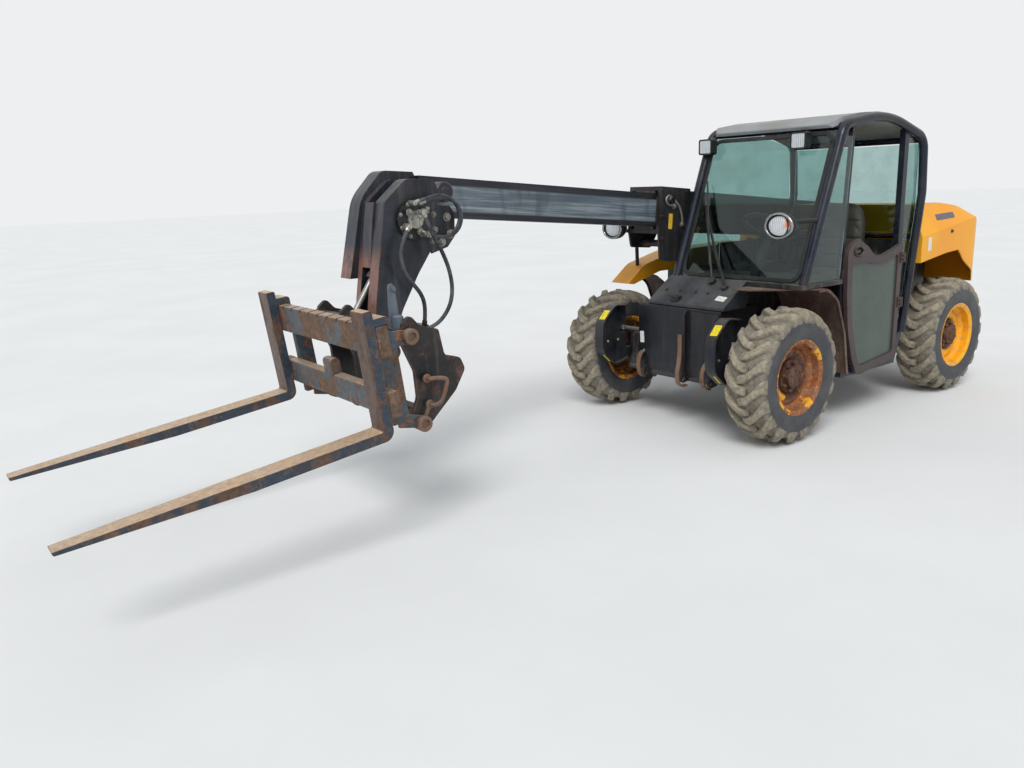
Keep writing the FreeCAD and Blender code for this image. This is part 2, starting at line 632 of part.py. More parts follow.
engine = box(-345, 380, -185, 185, RAIL_Z0, 900)
engine = engine.cut(box(REAR_ROD_X - CHANNEL_HALF, REAR_ROD_X + CHANNEL_HALF, -BEAM_END_Y, BEAM_END_Y,
                        RAIL_Z0 - 5, STEER_ROD_Z + CHANNEL_HALF))
for x in CROSS_X[1:2]:
    engine = engine.cut(box(x - 5, x + CROSS_W + 5, -BEAM_END_Y, BEAM_END_Y, RAIL_Z0 - 5, RAIL_Z1 + SEAT_GAP))
engine_feet = box(-300, 300, -RAIL_Y1 + 60, RAIL_Y1 - 60, RAIL_Z1, RAIL_Z1 + 40)
save("engine_block", fuse(engine, engine_feet))

# Rear bonnet: a hollow shell open below, arched over the rear wheel, with a shoulder that rises rearwards
BONNET_SIDE = [(BONNET_FRONT_X, 888), (98, 928), (-70, 938), (-150, 862, 50), (-285, 785, 40), (-318, 712),
               (-365, 700), (BONNET_REAR_X, 880, 120), (BONNET_REAR_X, 1012, 110), (-290, 1140, 120),
               (-130, 1222, 260), (95, BONNET_TOP_Z, 400), (BONNET_FRONT_X, BONNET_TOP_Z)]
BONNET_HOLLOW = [(BONNET_FRONT_X - BONNET_WALL, RAIL_Z1), (-360, RAIL_Z1), (-360, 706), (BONNET_REAR_X + BONNET_WALL, 882, 112),
                 (BONNET_REAR_X + BONNET_WALL, 1008, 102), (-286, 1133, 112), (-128, 1214, 252), (96, BONNET_TOP_Z - BONNET_WALL, 392),
                 (BONNET_FRONT_X - BONNET_WALL, BONNET_TOP_Z - BONNET_WALL)]
CORNER_R = 205.0


def bonnet_plan(inset):
    """Plan of the bonnet, larger than it at the front and right, its rear left corner rounded off."""
    rear_x = BONNET_REAR_X + inset - 0.5
    return plate_z([(BONNET_FRONT_X + 50, BONNET_RIGHT_Y - 50), (BONNET_FRONT_X + 50, BONNET_LEFT_Y - inset),
                    (rear_x, BONNET_LEFT_Y - inset, CORNER_R - inset), (rear_x, BONNET_RIGHT_Y - 50)], 500, 1400)


def shoulder_wedge(drop):
    """Wedge above the shoulder crease, which climbs from the front to the rear; drop moves it down and in."""
    ends = []
    for x, crease in ((BONNET_FRONT_X + 20, 1038), (BONNET_REAR_X - 20, 1160)):
        corners = [Vector(x, BONNET_LEFT_Y - 85 - drop, BONNET_TOP_Z + 10 - drop),
                   Vector(x, BONNET_LEFT_Y + 5 - drop, crease - 5 - drop),
                   Vector(x, BONNET_LEFT_Y + 80, crease - 5 - drop), Vector(x, BONNET_LEFT_Y + 80, 1400),
                   Vector(x, BONNET_LEFT_Y - 85 - drop, 1400)]
        ends.append(Part.makePolygon(corners + [corners[0]]))
    return Part.makeLoft(ends, True, True)


bonnet = plate_y(BONNET_SIDE, BONNET_RIGHT_Y, BONNET_LEFT_Y + 50)
bonnet = bonnet.common(bonnet_plan(0.0)).cut(shoulder_wedge(0.0))
hollow = plate_y(BONNET_HOLLOW, BONNET_RIGHT_Y + BONNET_WALL, BONNET_LEFT_Y + 50)
hollow = hollow.common(bonnet_plan(BONNET_WALL)).cut(shoulder_wedge(BONNET_WALL))
skirt = box(-300, BONNET_FRONT_X - 40, BONNET_RIGHT_Y, BONNET_RIGHT_Y + BONNET_WALL, RAIL_Z1, 960)
bonnet = fuse(bonnet.cut(hollow), skirt)
SLOT_PITCH = 32.0
SLOT_H = 14.0
for i in range(5):
    for y0 in (-150.0, 90.0):
        z0 = 800.0 + i * SLOT_PITCH
        bonnet = bonnet.cut(plate_x([(y0, z0, 6), (y0 + 200, z0, 6), (y0 + 200, z0 + SLOT_H, 6),
                                     (y0, z0 + SLOT_H, 6)], BONNET_REAR_X - 20, BONNET_REAR_X + 60))
save("rear_bonnet", bonnet)

# Right rear wing: a sheet of the same side line, open below and carried by the boom tower
WING_RIGHT_Y = POD_RIGHT_Y + 20.0
tower_far_y = BOOM_Y - OUTER_W / 2.0 - TOWER_GAP - TOWER_T
wing = plate_y(BONNET_SIDE, WING_RIGHT_Y, tower_far_y)
wing = wing.cut(plate_y(BONNET_HOLLOW, WING_RIGHT_Y + BONNET_WALL, tower_far_y + 1))
save("right_rear_wing", wing)

# Rear plate with the tow clevis, and the inner wing on the left rail that carries the bonnet
PLATE_BACK_X = CHASSIS_REAR_X - 30.0
rear_plate = plate_x([(BONNET_RIGHT_Y, 420, 30), (330, 420, 30), (330, 690, 20), (BONNET_RIGHT_Y, 690, 20)],
                     PLATE_BACK_X, CHASSIS_REAR_X)
clevis = [plate_z([(PLATE_BACK_X, CLEVIS_Y - 50), (PLATE_BACK_X, CLEVIS_Y + 50), (REAR_END_X, CLEVIS_Y + 50, 38),
                   (REAR_END_X, CLEVIS_Y - 50, 38)], z0, z0 + 18) for z0 in (CLEVIS_Z - 40, CLEVIS_Z + 22)]
flange = box(PLATE_BACK_X, 380, RAIL_Y1 - 40, WING_Y + 3.0, RAIL_Z1, RAIL_Z1 + SHEET_T)
inner_wing = box(-330, 380, WING_Y - 3.0, WING_Y + 3.0, RAIL_Z1, 1300).common(hollow)
rear_panel = fuse(rear_plate, flange, inner_wing, *clevis)
rear_panel = rear_panel.cut(Part.makeCylinder(CLEVIS_R, 120, Vector(CHASSIS_REAR_X - 100, CLEVIS_Y, CLEVIS_Z - 60)))
save("rear_panel", rear_panel)

# Boom tower: two cheeks with the boom's pivot pin
out_far = BOOM_Y - OUTER_W / 2.0
out_near = BOOM_Y + OUTER_W / 2.0
CHEEK = [(-60, TOWER_BASE_Z), (-100, 950, 60), (-205, 1190, 90), (-395, 1190, 90), (-480, 1000, 60)]
far_cheek = plate_y([(-480, TOWER_BASE_Z)] + CHEEK, out_far - TOWER_GAP - TOWER_T, out_far - TOWER_GAP)
near_cheek = plate_y([(-480, RAIL_Z1), (-60, RAIL_Z1)] + CHEEK, out_near + TOWER_GAP, out_near + TOWER_GAP + TOWER_T)
tower_base = box(-480, -60, out_far - TOWER_GAP - TOWER_T, out_near + TOWER_GAP + TOWER_T,
                 TOWER_BASE_Z, TOWER_BASE_Z + 20)
tower_foot = box(-480, -60, out_near + TOWER_GAP - 30, out_near + TOWER_GAP + TOWER_T, RAIL_Z1, RAIL_Z1 + 18)
boom_pin = pin_y(BOOM_PIVOT[0], BOOM_PIVOT[1], BOOM_PIN_R, out_far - TOWER_GAP - TOWER_T,
                 out_near + TOWER_GAP + TOWER_T)
save("boom_tower", fuse(far_cheek, near_cheek, tower_base, tower_foot, boom_pin))

# Side pod on the right: black case with louvres, yellow hood like a beak over the front wheel
POD_BACK_X = 500.0
CASE_Z0 = 330.0
CASE_Z1 = 858.0
CASE_FIT = 4.0
pod_case = plate_y([(POD_BACK_X, CASE_Z0, 30), (POD_FRONT_X, CASE_Z0, 60), (POD_FRONT_X, CASE_Z1), (POD_BACK_X, CASE_Z1)],
                   POD_RIGHT_Y + CASE_FIT, POD_LEFT_Y - CASE_FIT)
for i in range(6):
    z0 = CASE_Z0 + 130.0 + i * 46.0
    pod_case = pod_case.cut(plate_y([(POD_BACK_X + 90, z0, 8), (POD_FRONT_X - 120, z0, 8),
                                     (POD_FRONT_X - 120, z0 + 20, 8), (POD_BACK_X + 90, z0 + 20, 8)],
                                    POD_RIGHT_Y, POD_RIGHT_Y + CASE_FIT + 12.0))
pod_arm = box(POD_BACK_X + 5, POD_BACK_X + 100, POD_LEFT_Y - 20, -RAIL_Y1, CASE_Z0 + 10, 369)
pod_post = box(POD_BACK_X + 5, POD_BACK_X + 100, -RAIL_Y1, -RAIL_Y0 - 20, CASE_Z0 + 10, RAIL_Z0)
save("side_pod_case", fuse(pod_case, pod_arm, pod_post))
HOOD_TIP_X = WHEELBASE - 20.0
HOOD_OUT = [(HOOD_TIP_X, 800), (HOOD_TIP_X - 150, 912, 160), (HOOD_TIP_X - 450, 982, 300), (560, 1000, 60),
            (470, 980, 30), (470, CASE_Z1 + SEAT_GAP), (HOOD_TIP_X - 300, CASE_Z1 + SEAT_GAP, 60), (HOOD_TIP_X - 50, 792)]
hood = plate_y(HOOD_OUT, POD_RIGHT_Y, POD_LEFT_Y)
hood = hood.cut(plate_y([(HOOD_TIP_X - 170, 832), (HOOD_TIP_X - 170, 904, 45), (HOOD_TIP_X - 452, 974, 290),
                         (562, 992, 54), (478, 975, 22), (478, 780), (HOOD_TIP_X - 300, 780)],
                        POD_RIGHT_Y + HOOD_T, POD_LEFT_Y - HOOD_T))
save("side_pod_hood", hood)

# Mudguards: bent sheet over each front wheel, from behind the tyre to its top
GUARD_LINE = [(WHEELBASE - 520, 310), (WHEELBASE - 470, 558, 300), (WHEELBASE - 381, 765, 120),
              (WHEELBASE - 274, GUARD_TOP_Z, 120), (WHEELBASE + 60, GUARD_TOP_Z)]
LIP = 12.0
LIP_LINE = [(WHEELBASE - 520 + LIP, 308), (WHEELBASE - 470 + LIP, 556, 300), (WHEELBASE - 381 + 8, 757, 110),
            (WHEELBASE - 272, GUARD_TOP_Z - LIP, 110), (WHEELBASE - 170, GUARD_TOP_Z - LIP)]


def mudguard(inner_y, outer_y):
    """Bent sheet with an oblique front edge and a deeper lip along its outer edge."""
    sheet = plate_y(bent_sheet(GUARD_LINE, SHEET_T), inner_y, outer_y)
    edge = plate_y(bent_sheet(LIP_LINE, SHEET_T + LIP - 1.0), outer_y - SHEET_T, outer_y)
    front = plate_z([(WHEELBASE - 200, outer_y + 1), (WHEELBASE + 62, outer_y - 283), (WHEELBASE + 130, outer_y - 283),
                     (WHEELBASE + 130, outer_y + 1)], 700, 900)
    return fuse(sheet, edge).cut(front)


GUARD_OUTER_Y = 738.0
left_guard = mudguard(342.0, GUARD_OUTER_Y)
right_guard = mirrored_y(mudguard(-POD_LEFT_Y, GUARD_OUTER_Y))
right_guard = right_guard.cut(plate_y(HOOD_OUT, POD_RIGHT_Y - 50, POD_LEFT_Y + 50))
right_guard = max(right_guard.Solids, key=lambda solid: solid.Volume)
save("front_mudguards", left_guard, right_guard)


# Cab: bent tube hoops, posts and cross members
def hoop(y, low_point):
    """One side hoop: front pillar, roof rail and rear pillar in one bent tube."""
    line = [PILLAR_FOOT, PILLAR_TOP, ROOF_CREST, REAR_TOP, REAR_MID, low_point]
    return bent_tube([(x, y, z) for x, z in line], [110, 900, 110, 160], CAB_TUBE_R)


left_hoop = hoop(CAB_LEFT_Y, REAR_LOW)
right_hoop = hoop(CAB_RIGHT_Y, (REAR_LOW[0] - 22, CAB_FLOOR_Z))


def cross_tube(point, radius):
    """Tube across the cab between the two hoops."""
    return pin_y(point[0], point[1], radius, CAB_RIGHT_Y, CAB_LEFT_Y)


FRONT_HEADER = (PILLAR_TOP[0] - 18, PILLAR_TOP[1] - 8)
REAR_HEADER = (REAR_TOP[0] + 10, REAR_TOP[1] - 12)
front_header = cross_tube(FRONT_HEADER, HEADER_R)
rear_header = cross_tube(REAR_HEADER, HEADER_R)
rear_waist = cross_tube((REAR_MID[0] + 40, 1060), HEADER_R - 2)
post_y0 = CAB_LEFT_Y - 4 - POST_T
post_y1 = CAB_LEFT_Y - 4
post_x0 = B_POST_X - B_POST_W / 2
b_post = box(post_x0, B_POST_X + B_POST_W / 2, post_y0, post_y1, SILL_Z, 1700)
front_post = plate_y([(FRONT_POST_LOW_X - 14, 842), (FRONT_POST_LOW_X + 14, 842), (FRONT_POST_TOP_X + 14, 1740),
                      (FRONT_POST_TOP_X - 14, 1740)], CAB_LEFT_Y - 28, post_y1 - SEAT_GAP)
front_leg = plate_y([(BULKHEAD_X - 10, 300), (BULKHEAD_X + 14, 300), (BULKHEAD_X + 62, 560, 400),
                     (BULKHEAD_X + 74, 842), (BULKHEAD_X + 48, 842), (BULKHEAD_X + 36, 560, 380)], post_y0, post_y1)
sill = box(post_x0, BULKHEAD_X + 18, post_y0, post_y1, SILL_Z - 12, SILL_Z + 40)
rear_leg = plate_y([(REAR_LOW[0] - 24, REAR_LOW[1]), (REAR_LOW[0] + 24, REAR_LOW[1]), (B_POST_X, SILL_Z + 40),
                    (B_POST_X, SILL_Z - 12), (B_POST_X - 22, SILL_Z)], post_y0, post_y1)
frame = fuse(left_hoop, right_hoop, front_header, rear_header, rear_waist, b_post, front_post, front_leg, sill,
             rear_leg)
frame = frame.cut(box(BULKHEAD_X + 88, PILLAR_FOOT[0] + 55, CAB_RIGHT_Y - 60, CAB_LEFT_Y + 60, 700, DASH_Z + DASH_T))
save("cab_frame", frame)

# Cab floor pan: raised floor over the rails, step well inside the door, front bulkhead, dash shelf
pan_left = post_y0 - 2.0
pan_right = CAB_RIGHT_Y
WELL_X = 640.0
SHELF_FRONT_X = PILLAR_FOOT[0] + 25.0
floor_high = box(600, BULKHEAD_X + 22, pan_right, WELL_Y, CAB_FLOOR_Z, CAB_FLOOR_Z + PANEL_T)
riser = box(WELL_X, BULKHEAD_X, WELL_Y - PANEL_T, WELL_Y, STEP_Z, CAB_FLOOR_Z)
step = box(WELL_X, BULKHEAD_X, WELL_Y - PANEL_T, pan_left, STEP_Z, STEP_Z + PANEL_T)
bulkhead = box(BULKHEAD_X, BULKHEAD_X + PANEL_T, WELL_Y - PANEL_T, pan_left, STEP_Z, DASH_Z)
bulkhead_mid = box(BULKHEAD_X + 16, BULKHEAD_X + 22, pan_right, WELL_Y, CAB_FLOOR_Z, DASH_Z)
bulkhead_tie = box(BULKHEAD_X, BULKHEAD_X + 22, WELL_Y - PANEL_T, WELL_Y, STEP_Z, DASH_Z)
shelf = plate_y([(BULKHEAD_X, DASH_Z), (BULKHEAD_X, DASH_Z + DASH_T, 10), (SHELF_FRONT_X, DASH_Z + DASH_T),
                 (SHELF_FRONT_X, DASH_Z)], pan_right - 20, pan_left)
shelf_left = box(BULKHEAD_X + 90, SHELF_FRONT_X + 10, pan_left, CAB_LEFT_Y + 20, DASH_Z, DASH_Z + DASH_T)
well_back = box(WELL_X, WELL_X + PANEL_T, WELL_Y - PANEL_T, pan_left, STEP_Z, CAB_FLOOR_Z - 5)
pan = fuse(floor_high, riser, step, bulkhead, bulkhead_mid, bulkhead_tie, shelf, shelf_left, well_back)
save("cab_floor_pan", pan)

# Cab lower walls: right side wall and the wall behind the seat
wall_y1 = CAB_RIGHT_Y - CAB_TUBE_R - SEAT_GAP
right_wall = plate_y([(600, CAB_FLOOR_Z), (BULKHEAD_X + 22, CAB_FLOOR_Z), (BULKHEAD_X + 22, 1040, 30),
                      (500, 1040, 30), (530, 800, 80)], wall_y1 - PANEL_T, wall_y1)
back_wall = plate_y([(REAR_MID[0] + 34, 1038), (REAR_MID[0] + 42, 1038), (624, CAB_FLOOR_Z + PANEL_T),
                     (600, CAB_FLOOR_Z + PANEL_T)], CAB_RIGHT_Y + CAB_TUBE_R + SEAT_GAP, CAB_LEFT_Y - 60)
save("cab_lower_walls", right_wall, back_wall)

# Roof: crowned panel between the hoops, its front edge turned down as a visor, its corners rounded in plan
gap_y0 = CAB_RIGHT_Y + CAB_TUBE_R + SEAT_GAP
gap_y1 = CAB_LEFT_Y - CAB_TUBE_R - SEAT_GAP
VISOR_X = PILLAR_TOP[0] + 40.0
ROOF_BACK_X = REAR_TOP[0]
roof = plate_y([(VISOR_X, 1726, 8), (VISOR_X - 55, 1762, 60), (VISOR_X - 255, 1790, 500), (918, 1800, 600),
                (700, 1757, 400), (ROOF_BACK_X, 1676), (ROOF_BACK_X + 22, 1660), (700, 1722), (918, 1762),
                (VISOR_X - 255, 1756), (VISOR_X - 75, 1734), (VISOR_X - 13, 1706)], gap_y0, gap_y1)
roof = roof.common(plate_z([(ROOF_BACK_X - 5, gap_y0, 40), (VISOR_X, gap_y0, 70), (VISOR_X, gap_y1, 70),
                            (ROOF_BACK_X - 5, gap_y1, 40)], 1600, 1900))
for header in (FRONT_HEADER, REAR_HEADER):
    roof = roof.cut(pin_y(header[0], header[1], HEADER_R + SEAT_GAP, CAB_RIGHT_Y, CAB_LEFT_Y))
save("cab_roof", roof)

# Glass
SCREEN_FOOT_X = PILLAR_FOOT[0] - 13.0
SCREEN_TOP_X = PILLAR_TOP[0] + 13.0
GLASS_Z0 = DASH_Z + DASH_T + SEAT_GAP
screen = plate_y([(SCREEN_FOOT_X, GLASS_Z0), (SCREEN_FOOT_X + GLASS_T, GLASS_Z0), (SCREEN_TOP_X + GLASS_T, 1690),
                  (SCREEN_TOP_X, 1690)], gap_y0, gap_y1)
save("windscreen", screen)
quarter = plate_y([(FRONT_POST_LOW_X + 15, 871), (PILLAR_FOOT[0] - 35, 871), (PILLAR_TOP[0] + 7, 1660),
                   (FRONT_POST_TOP_X + 20, 1660)], post_y1, post_y1 + GLASS_T)
quarter = quarter.cut(left_hoop)
rear_side = plate_y([(post_x0 - SEAT_GAP, 1690), (500, 1640), (478, 1330), (620, 480), (post_x0 - SEAT_GAP, 380)],
                    CAB_LEFT_Y - 16, CAB_LEFT_Y - 16 + GLASS_T)
rear_side = rear_side.cut(left_hoop).cut(rear_leg)
right_glass = plate_y([(PILLAR_TOP[0] + 35, 875), (PILLAR_FOOT[0] - 65, 875), (PILLAR_TOP[0], 1690), (918, 1735),
                       (520, 1640), (500, 1042), (BULKHEAD_X + 28, 1042), (BULKHEAD_X + 28, 875)],
                      CAB_RIGHT_Y - 4, CAB_RIGHT_Y - 4 + GLASS_T)
right_glass = right_glass.cut(right_hoop)
rear_glass = plate_y([(REAR_MID[0] + 22, 1084), (REAR_MID[0] + 22 + GLASS_T, 1084),
                      (REAR_TOP[0] + 4 + GLASS_T, 1618), (REAR_TOP[0] + 4, 1618)], gap_y0, gap_y1)
save("cab_glass", quarter, rear_side, right_glass, rear_glass)

# Cowl deck between the front box and the windscreen foot, with a hole for the filler neck
deck = plate_y([(BOX_FRONT_X, BOX_Z1), (BOX_FRONT_X, BOX_Z1 + 14, 10), (SHELF_FRONT_X + 10, DASH_Z + DASH_T),
                (SHELF_FRONT_X, DASH_Z + DASH_T), (SHELF_FRONT_X, BOX_Z1)], CAB_RIGHT_Y - 20, 340)
deck = deck.cut(neck)
save("cowl_deck", deck)

# Door, hinged at its rear edge, with an oval handle recess
door_y0 = post_y1 + DOOR_FIT
door_y1 = door_y0 + DOOR_T
DOOR_OUT = [(676, 1040, 30), (676, 318, 30), (BULKHEAD_X - 110, 274, 60), (BULKHEAD_X - 46, 390, 120),
            (BULKHEAD_X + 10, 560, 400), (BULKHEAD_X + 40, 770, 400), (BULKHEAD_X + 50, 1020, 60),
            (BULKHEAD_X + 10, 1068, 40), (BULKHEAD_X - 60, 1088, 50), (BULKHEAD_X - 160, 1040, 150),
            (BULKHEAD_X - 230, 984, 120), (900, 976, 200), (780, 1004, 100)]
DOOR_IN = [(722, 978, 20), (722, 366, 20), (BULKHEAD_X - 136, 330, 40), (BULKHEAD_X - 88, 420, 100),
           (BULKHEAD_X - 36, 580, 300), (BULKHEAD_X - 8, 770, 300), (BULKHEAD_X, 940, 25), (BULKHEAD_X - 92, 950),
           (BULKHEAD_X - 162, 945), (BULKHEAD_X - 222, 935), (900, 925), (780, 950)]
HANDLE_AT = (BULKHEAD_X - 62.0, 1018.0)
door_frame = plate_y(DOOR_OUT, door_y0, door_y1).cut(plate_y(DOOR_IN, door_y0 - 5, door_y1 + 5))
recess = plate_y([(HANDLE_AT[0] - 42, HANDLE_AT[1] - 22, 21), (HANDLE_AT[0] + 42, HANDLE_AT[1] - 22, 21),
                  (HANDLE_AT[0] + 42, HANDLE_AT[1] + 22, 21), (HANDLE_AT[0] - 42, HANDLE_AT[1] + 22, 21)],
                 door_y1 - 14, door_y1 + 5)
paddle = plate_y([(HANDLE_AT[0] - 30, HANDLE_AT[1] - 12, 10), (HANDLE_AT[0] + 30, HANDLE_AT[1] - 12, 10),
                  (HANDLE_AT[0] + 30, HANDLE_AT[1] + 10, 10), (HANDLE_AT[0] - 30, HANDLE_AT[1] + 10, 10)],
                 door_y1 - 15, door_y1 - 5)
hinges = []
for hinge_z in (642.0, 916.0):
    hinges.append(Part.makeCylinder(11, 60, Vector(DOOR_HINGE_X, door_y1 + 2, hinge_z)))
    hinges.append(box(DOOR_HINGE_X, 700, door_y1 - 2, door_y1 + 8, hinge_z, hinge_z + 60))
save("door_frame", fuse(door_frame.cut(recess), paddle, *hinges))
save("door_panel", plate_y(DOOR_IN, door_y0 + 8, door_y0 + 14))

# Seat, steering column, console
seat_pan = box(700, 1060, SEAT_Y - 150, SEAT_Y + 50, CAB_FLOOR_Z + PANEL_T, 690)
seat_base = plate_z([(WELL_X, SEAT_Y - 190, 30), (1090, SEAT_Y - 190, 30), (1090, SEAT_Y + 55, 30),
                     (WELL_X, SEAT_Y + 55, 30)], 690, 740)
cushion = plate_y([(WELL_X, 740, 25), (WELL_X, 845, 20), (1080, 850, 45), (1102, 800, 40), (1085, 740, 20)],
                  SEAT_Y - 225, SEAT_Y + 225)
back = plate_y([(590, 800, 20), (690, 845, 30), (668, 1060, 300), (640, 1292, 34), (560, 1282, 34)],
               SEAT_Y - 215, SEAT_Y + 215)
save("seat_mount", fuse(seat_pan, seat_base))
save("seat_cushion", fuse(cushion, back))
wheel_x, wheel_z = WHEEL_CENTRE
lean = math.radians(WHEEL_LEAN_DEG)
wheel_up = Vector(-math.sin(lean), 0, math.cos(lean))
centre = Vector(wheel_x, COLUMN_Y, wheel_z)
column = rod((wheel_x + 160, COLUMN_Y, GLASS_Z0), (wheel_x + 5, COLUMN_Y, wheel_z - 9), 32)
ring = Part.makeTorus(WHEEL_R, 14, centre, wheel_up)
hub_disc = Part.makeCylinder(40, 30, centre - wheel_up * 16, wheel_up)
spokes = []
for angle in (0, 120, 240):
    a = math.radians(angle)
    away = Vector(math.cos(a) * math.cos(lean), math.sin(a), math.cos(a) * math.sin(lean))
    spokes.append(rod(centre, centre + away * WHEEL_R, 9))
save("steering_column", fuse(column, ring, hub_disc, *spokes).cut(pan))
CONSOLE_FRONT_X = BULKHEAD_X - 92.0
console = plate_y([(760, CAB_FLOOR_Z + PANEL_T), (760, 900, 40), (CONSOLE_FRONT_X, 900, 70),
                   (CONSOLE_FRONT_X, CAB_FLOOR_Z + PANEL_T)], CAB_RIGHT_Y - 10, -60)
lever_x = CONSOLE_FRONT_X - 70.0
lever = fuse(rod((lever_x, -120, 895), (lever_x + 10, -120, 1040), 9),
             Part.makeSphere(24, Vector(lever_x + 10, -120, 1050)))
save("console", fuse(console, lever))

# Lamps: two round head lamps, two work lamps under the visor, two rear lamps; wiper on the windscreen
LAMP_R = 70.0


def head_lamp(x, y, z):
    """Round head lamp: a bowl that opens forward from x, with a rim and a recessed lens."""
    bowl = Part.makeCone(34, LAMP_R, 55, Vector(x, y, z), Vector(1, 0, 0))
    rim = Part.makeCylinder(LAMP_R, 35, Vector(x + 55, y, z), Vector(1, 0, 0))
    lens = Part.makeCylinder(LAMP_R - 8, 10, Vector(x + 82, y, z), Vector(1, 0, 0))
    return fuse(bowl, rim).cut(lens)


hood_solid = plate_y(HOOD_OUT, POD_RIGHT_Y, POD_LEFT_Y)
right_lamp = head_lamp(WHEELBASE - 30, -625, 1164)
right_stem = bent_tube([(WHEELBASE - 170, -625, 905), (WHEELBASE - 160, -625, 1120), (WHEELBASE + 10, -625, 1160)],
                       [60], 12)
lamps = [fuse(right_lamp, right_stem).cut(hood_solid)]
left_lamp = head_lamp(WHEELBASE - 12, 640, 1200)
left_stem = bent_tube([(WHEELBASE - 210, 685, 1215), (WHEELBASE - 70, 640, 1215), (WHEELBASE + 20, 640, 1200)],
                      [60], 12)
lamps.append(fuse(left_lamp, left_stem).cut(left_hoop))
WORK_BACK_X = PILLAR_TOP[0] + 50.0
for y in (472.0, -190.0):
    case = plate_x([(y - 50, 1600, 14), (y + 50, 1600, 14), (y + 50, 1694, 14), (y - 50, 1694, 14)],
                   WORK_BACK_X, WORK_BACK_X + 55)
    face = plate_x([(y - 42, 1608, 8), (y + 42, 1608, 8), (y + 42, 1686, 8), (y - 42, 1686, 8)],
                   WORK_BACK_X + 48, WORK_BACK_X + 60)
    arm = rod((PILLAR_TOP[0] + 5, y, 1700), (WORK_BACK_X + 25, y, 1670), 9)
    lamp = fuse(case.cut(face), arm)
    for other in (roof, screen, front_header, left_hoop, right_hoop):
        lamp = lamp.cut(other)
    lamps.append(lamp)
for y0, y1 in ((360.0, 450.0), (WING_RIGHT_Y + 20.0, WING_RIGHT_Y + 110.0)):
    lamps.append(plate_x([(y0, 900, 12), (y1, 900, 12), (y1, 955, 12), (y0, 955, 12)], BONNET_REAR_X - 26,
                         BONNET_REAR_X - SEAT_GAP))
save("lamps", *lamps)
wiper = fuse(rod((SHELF_FRONT_X + 30, 120, 850), (SHELF_FRONT_X + 55, 120, 872), 22),
             rod((SHELF_FRONT_X + 45, 120, 866), (PILLAR_TOP[0] + 175, -120, 1330), 7),
             rod((SHELF_FRONT_X + 10, 70, 950), (PILLAR_TOP[0] + 135, -140, 1440), 5))
save("wiper", wiper.cut(deck).cut(pan))

# Outer boom: hollow box with a collar and two hanging plates at its front
pivot = BOOM_PIVOT


def boom_box(u0, u1, half_w, w0, w1):
    """Box along the boom's line, before it is turned to its rest angle."""
    return box(pivot[0] + u0, pivot[0] + u1, BOOM_Y - half_w, BOOM_Y + half_w, pivot[1] + w0, pivot[1] + w1)


def boom_plate(corners, y0, y1):
    """Plate drawn along the boom's line."""
    return plate_y([(pivot[0] + c[0], pivot[1] + c[1]) + tuple(c[2:]) for c in corners], y0, y1)


half_w = OUTER_W / 2.0
half_h = OUTER_H / 2.0
collar_u = OUTER_FRONT_U - COLLAR_LEN
outer = boom_box(OUTER_REAR_U, OUTER_FRONT_U, half_w, -half_h, half_h)
collar = boom_box(collar_u, OUTER_FRONT_U, half_w + COLLAR_T, -half_h - COLLAR_T, half_h + COLLAR_T)
hang_near = boom_plate([(collar_u, -half_h), (OUTER_FRONT_U, -half_h), (OUTER_FRONT_U - 30, -COLLAR_DROP, 30),
                        (collar_u + 60, -COLLAR_DROP, 50)], BOOM_Y + half_w, BOOM_Y + half_w + COLLAR_T)
hang_far = boom_plate([(collar_u, -half_h), (OUTER_FRONT_U, -half_h), (OUTER_FRONT_U - 30, -COLLAR_DROP_FAR, 20),
                       (collar_u + 60, -COLLAR_DROP_FAR, 30)], BOOM_Y - half_w - COLLAR_T, BOOM_Y - half_w)
hang_pin = pin_y(pivot[0] + OUTER_FRONT_U - 130, pivot[1] - COLLAR_DROP_FAR + 32, 22, BOOM_Y - half_w - COLLAR_T,
                 BOOM_Y + half_w + COLLAR_T)
boss = pin_y(pivot[0] + OUTER_FRONT_U - 102, pivot[1] + 66, 21, BOOM_Y + half_w, BOOM_Y + half_w + COLLAR_T + 12)
boom_ears = [boom_plate([(LIFT_EYE_U - 90, -half_h), (LIFT_EYE_U + 90, -half_h), (LIFT_EYE_U + 36, LIFT_EYE_W - 32, 30),
                         (LIFT_EYE_U - 36, LIFT_EYE_W - 32, 30)], y0, y0 + EAR_T)
             for y0 in (lift_y0 - EAR_T, lift_y1)]
outer = fuse(outer, collar, hang_near, hang_far, hang_pin, boss, *boom_ears)
cavity = boom_box(OUTER_REAR_U - 5, OUTER_FRONT_U + 5, half_w - OUTER_WALL, -half_h + OUTER_WALL,
                  half_h - OUTER_WALL)
outer = outer.cut(cavity)
outer = outer.cut(pin_y(pivot[0], pivot[1], BOOM_PIN_R + RUN_FIT, out_far - 50, out_near + 50))
for y0 in (lift_y0 - EAR_T, lift_y1):
    outer = outer.cut(pin_y(pivot[0] + LIFT_EYE_U, pivot[1] + LIFT_EYE_W, LIFT_PIN_R, y0 - 1, y0 + EAR_T + 1))
save("outer_boom", turned(outer, pivot, BOOM_REST_DEG))
pads = []
for sign in (1, -1):
    w0, w1 = in_order(sign * (half_h - OUTER_WALL), sign * (INNER_H / 2.0 + SEAT_GAP))
    pads.append(boom_box(OUTER_FRONT_U - PAD_LEN, OUTER_FRONT_U, PAD_HALF, w0, w1))
    y0, y1 = in_order(sign * (half_w - OUTER_WALL), sign * (INNER_W / 2.0 + SEAT_GAP))
    pads.append(box(pivot[0] + OUTER_FRONT_U - PAD_LEN, pivot[0] + OUTER_FRONT_U, BOOM_Y + y0, BOOM_Y + y1,
                    pivot[1] - PAD_HALF, pivot[1] + PAD_HALF))
save("boom_wear_pads", *[turned(p, pivot, BOOM_REST_DEG) for p in pads])

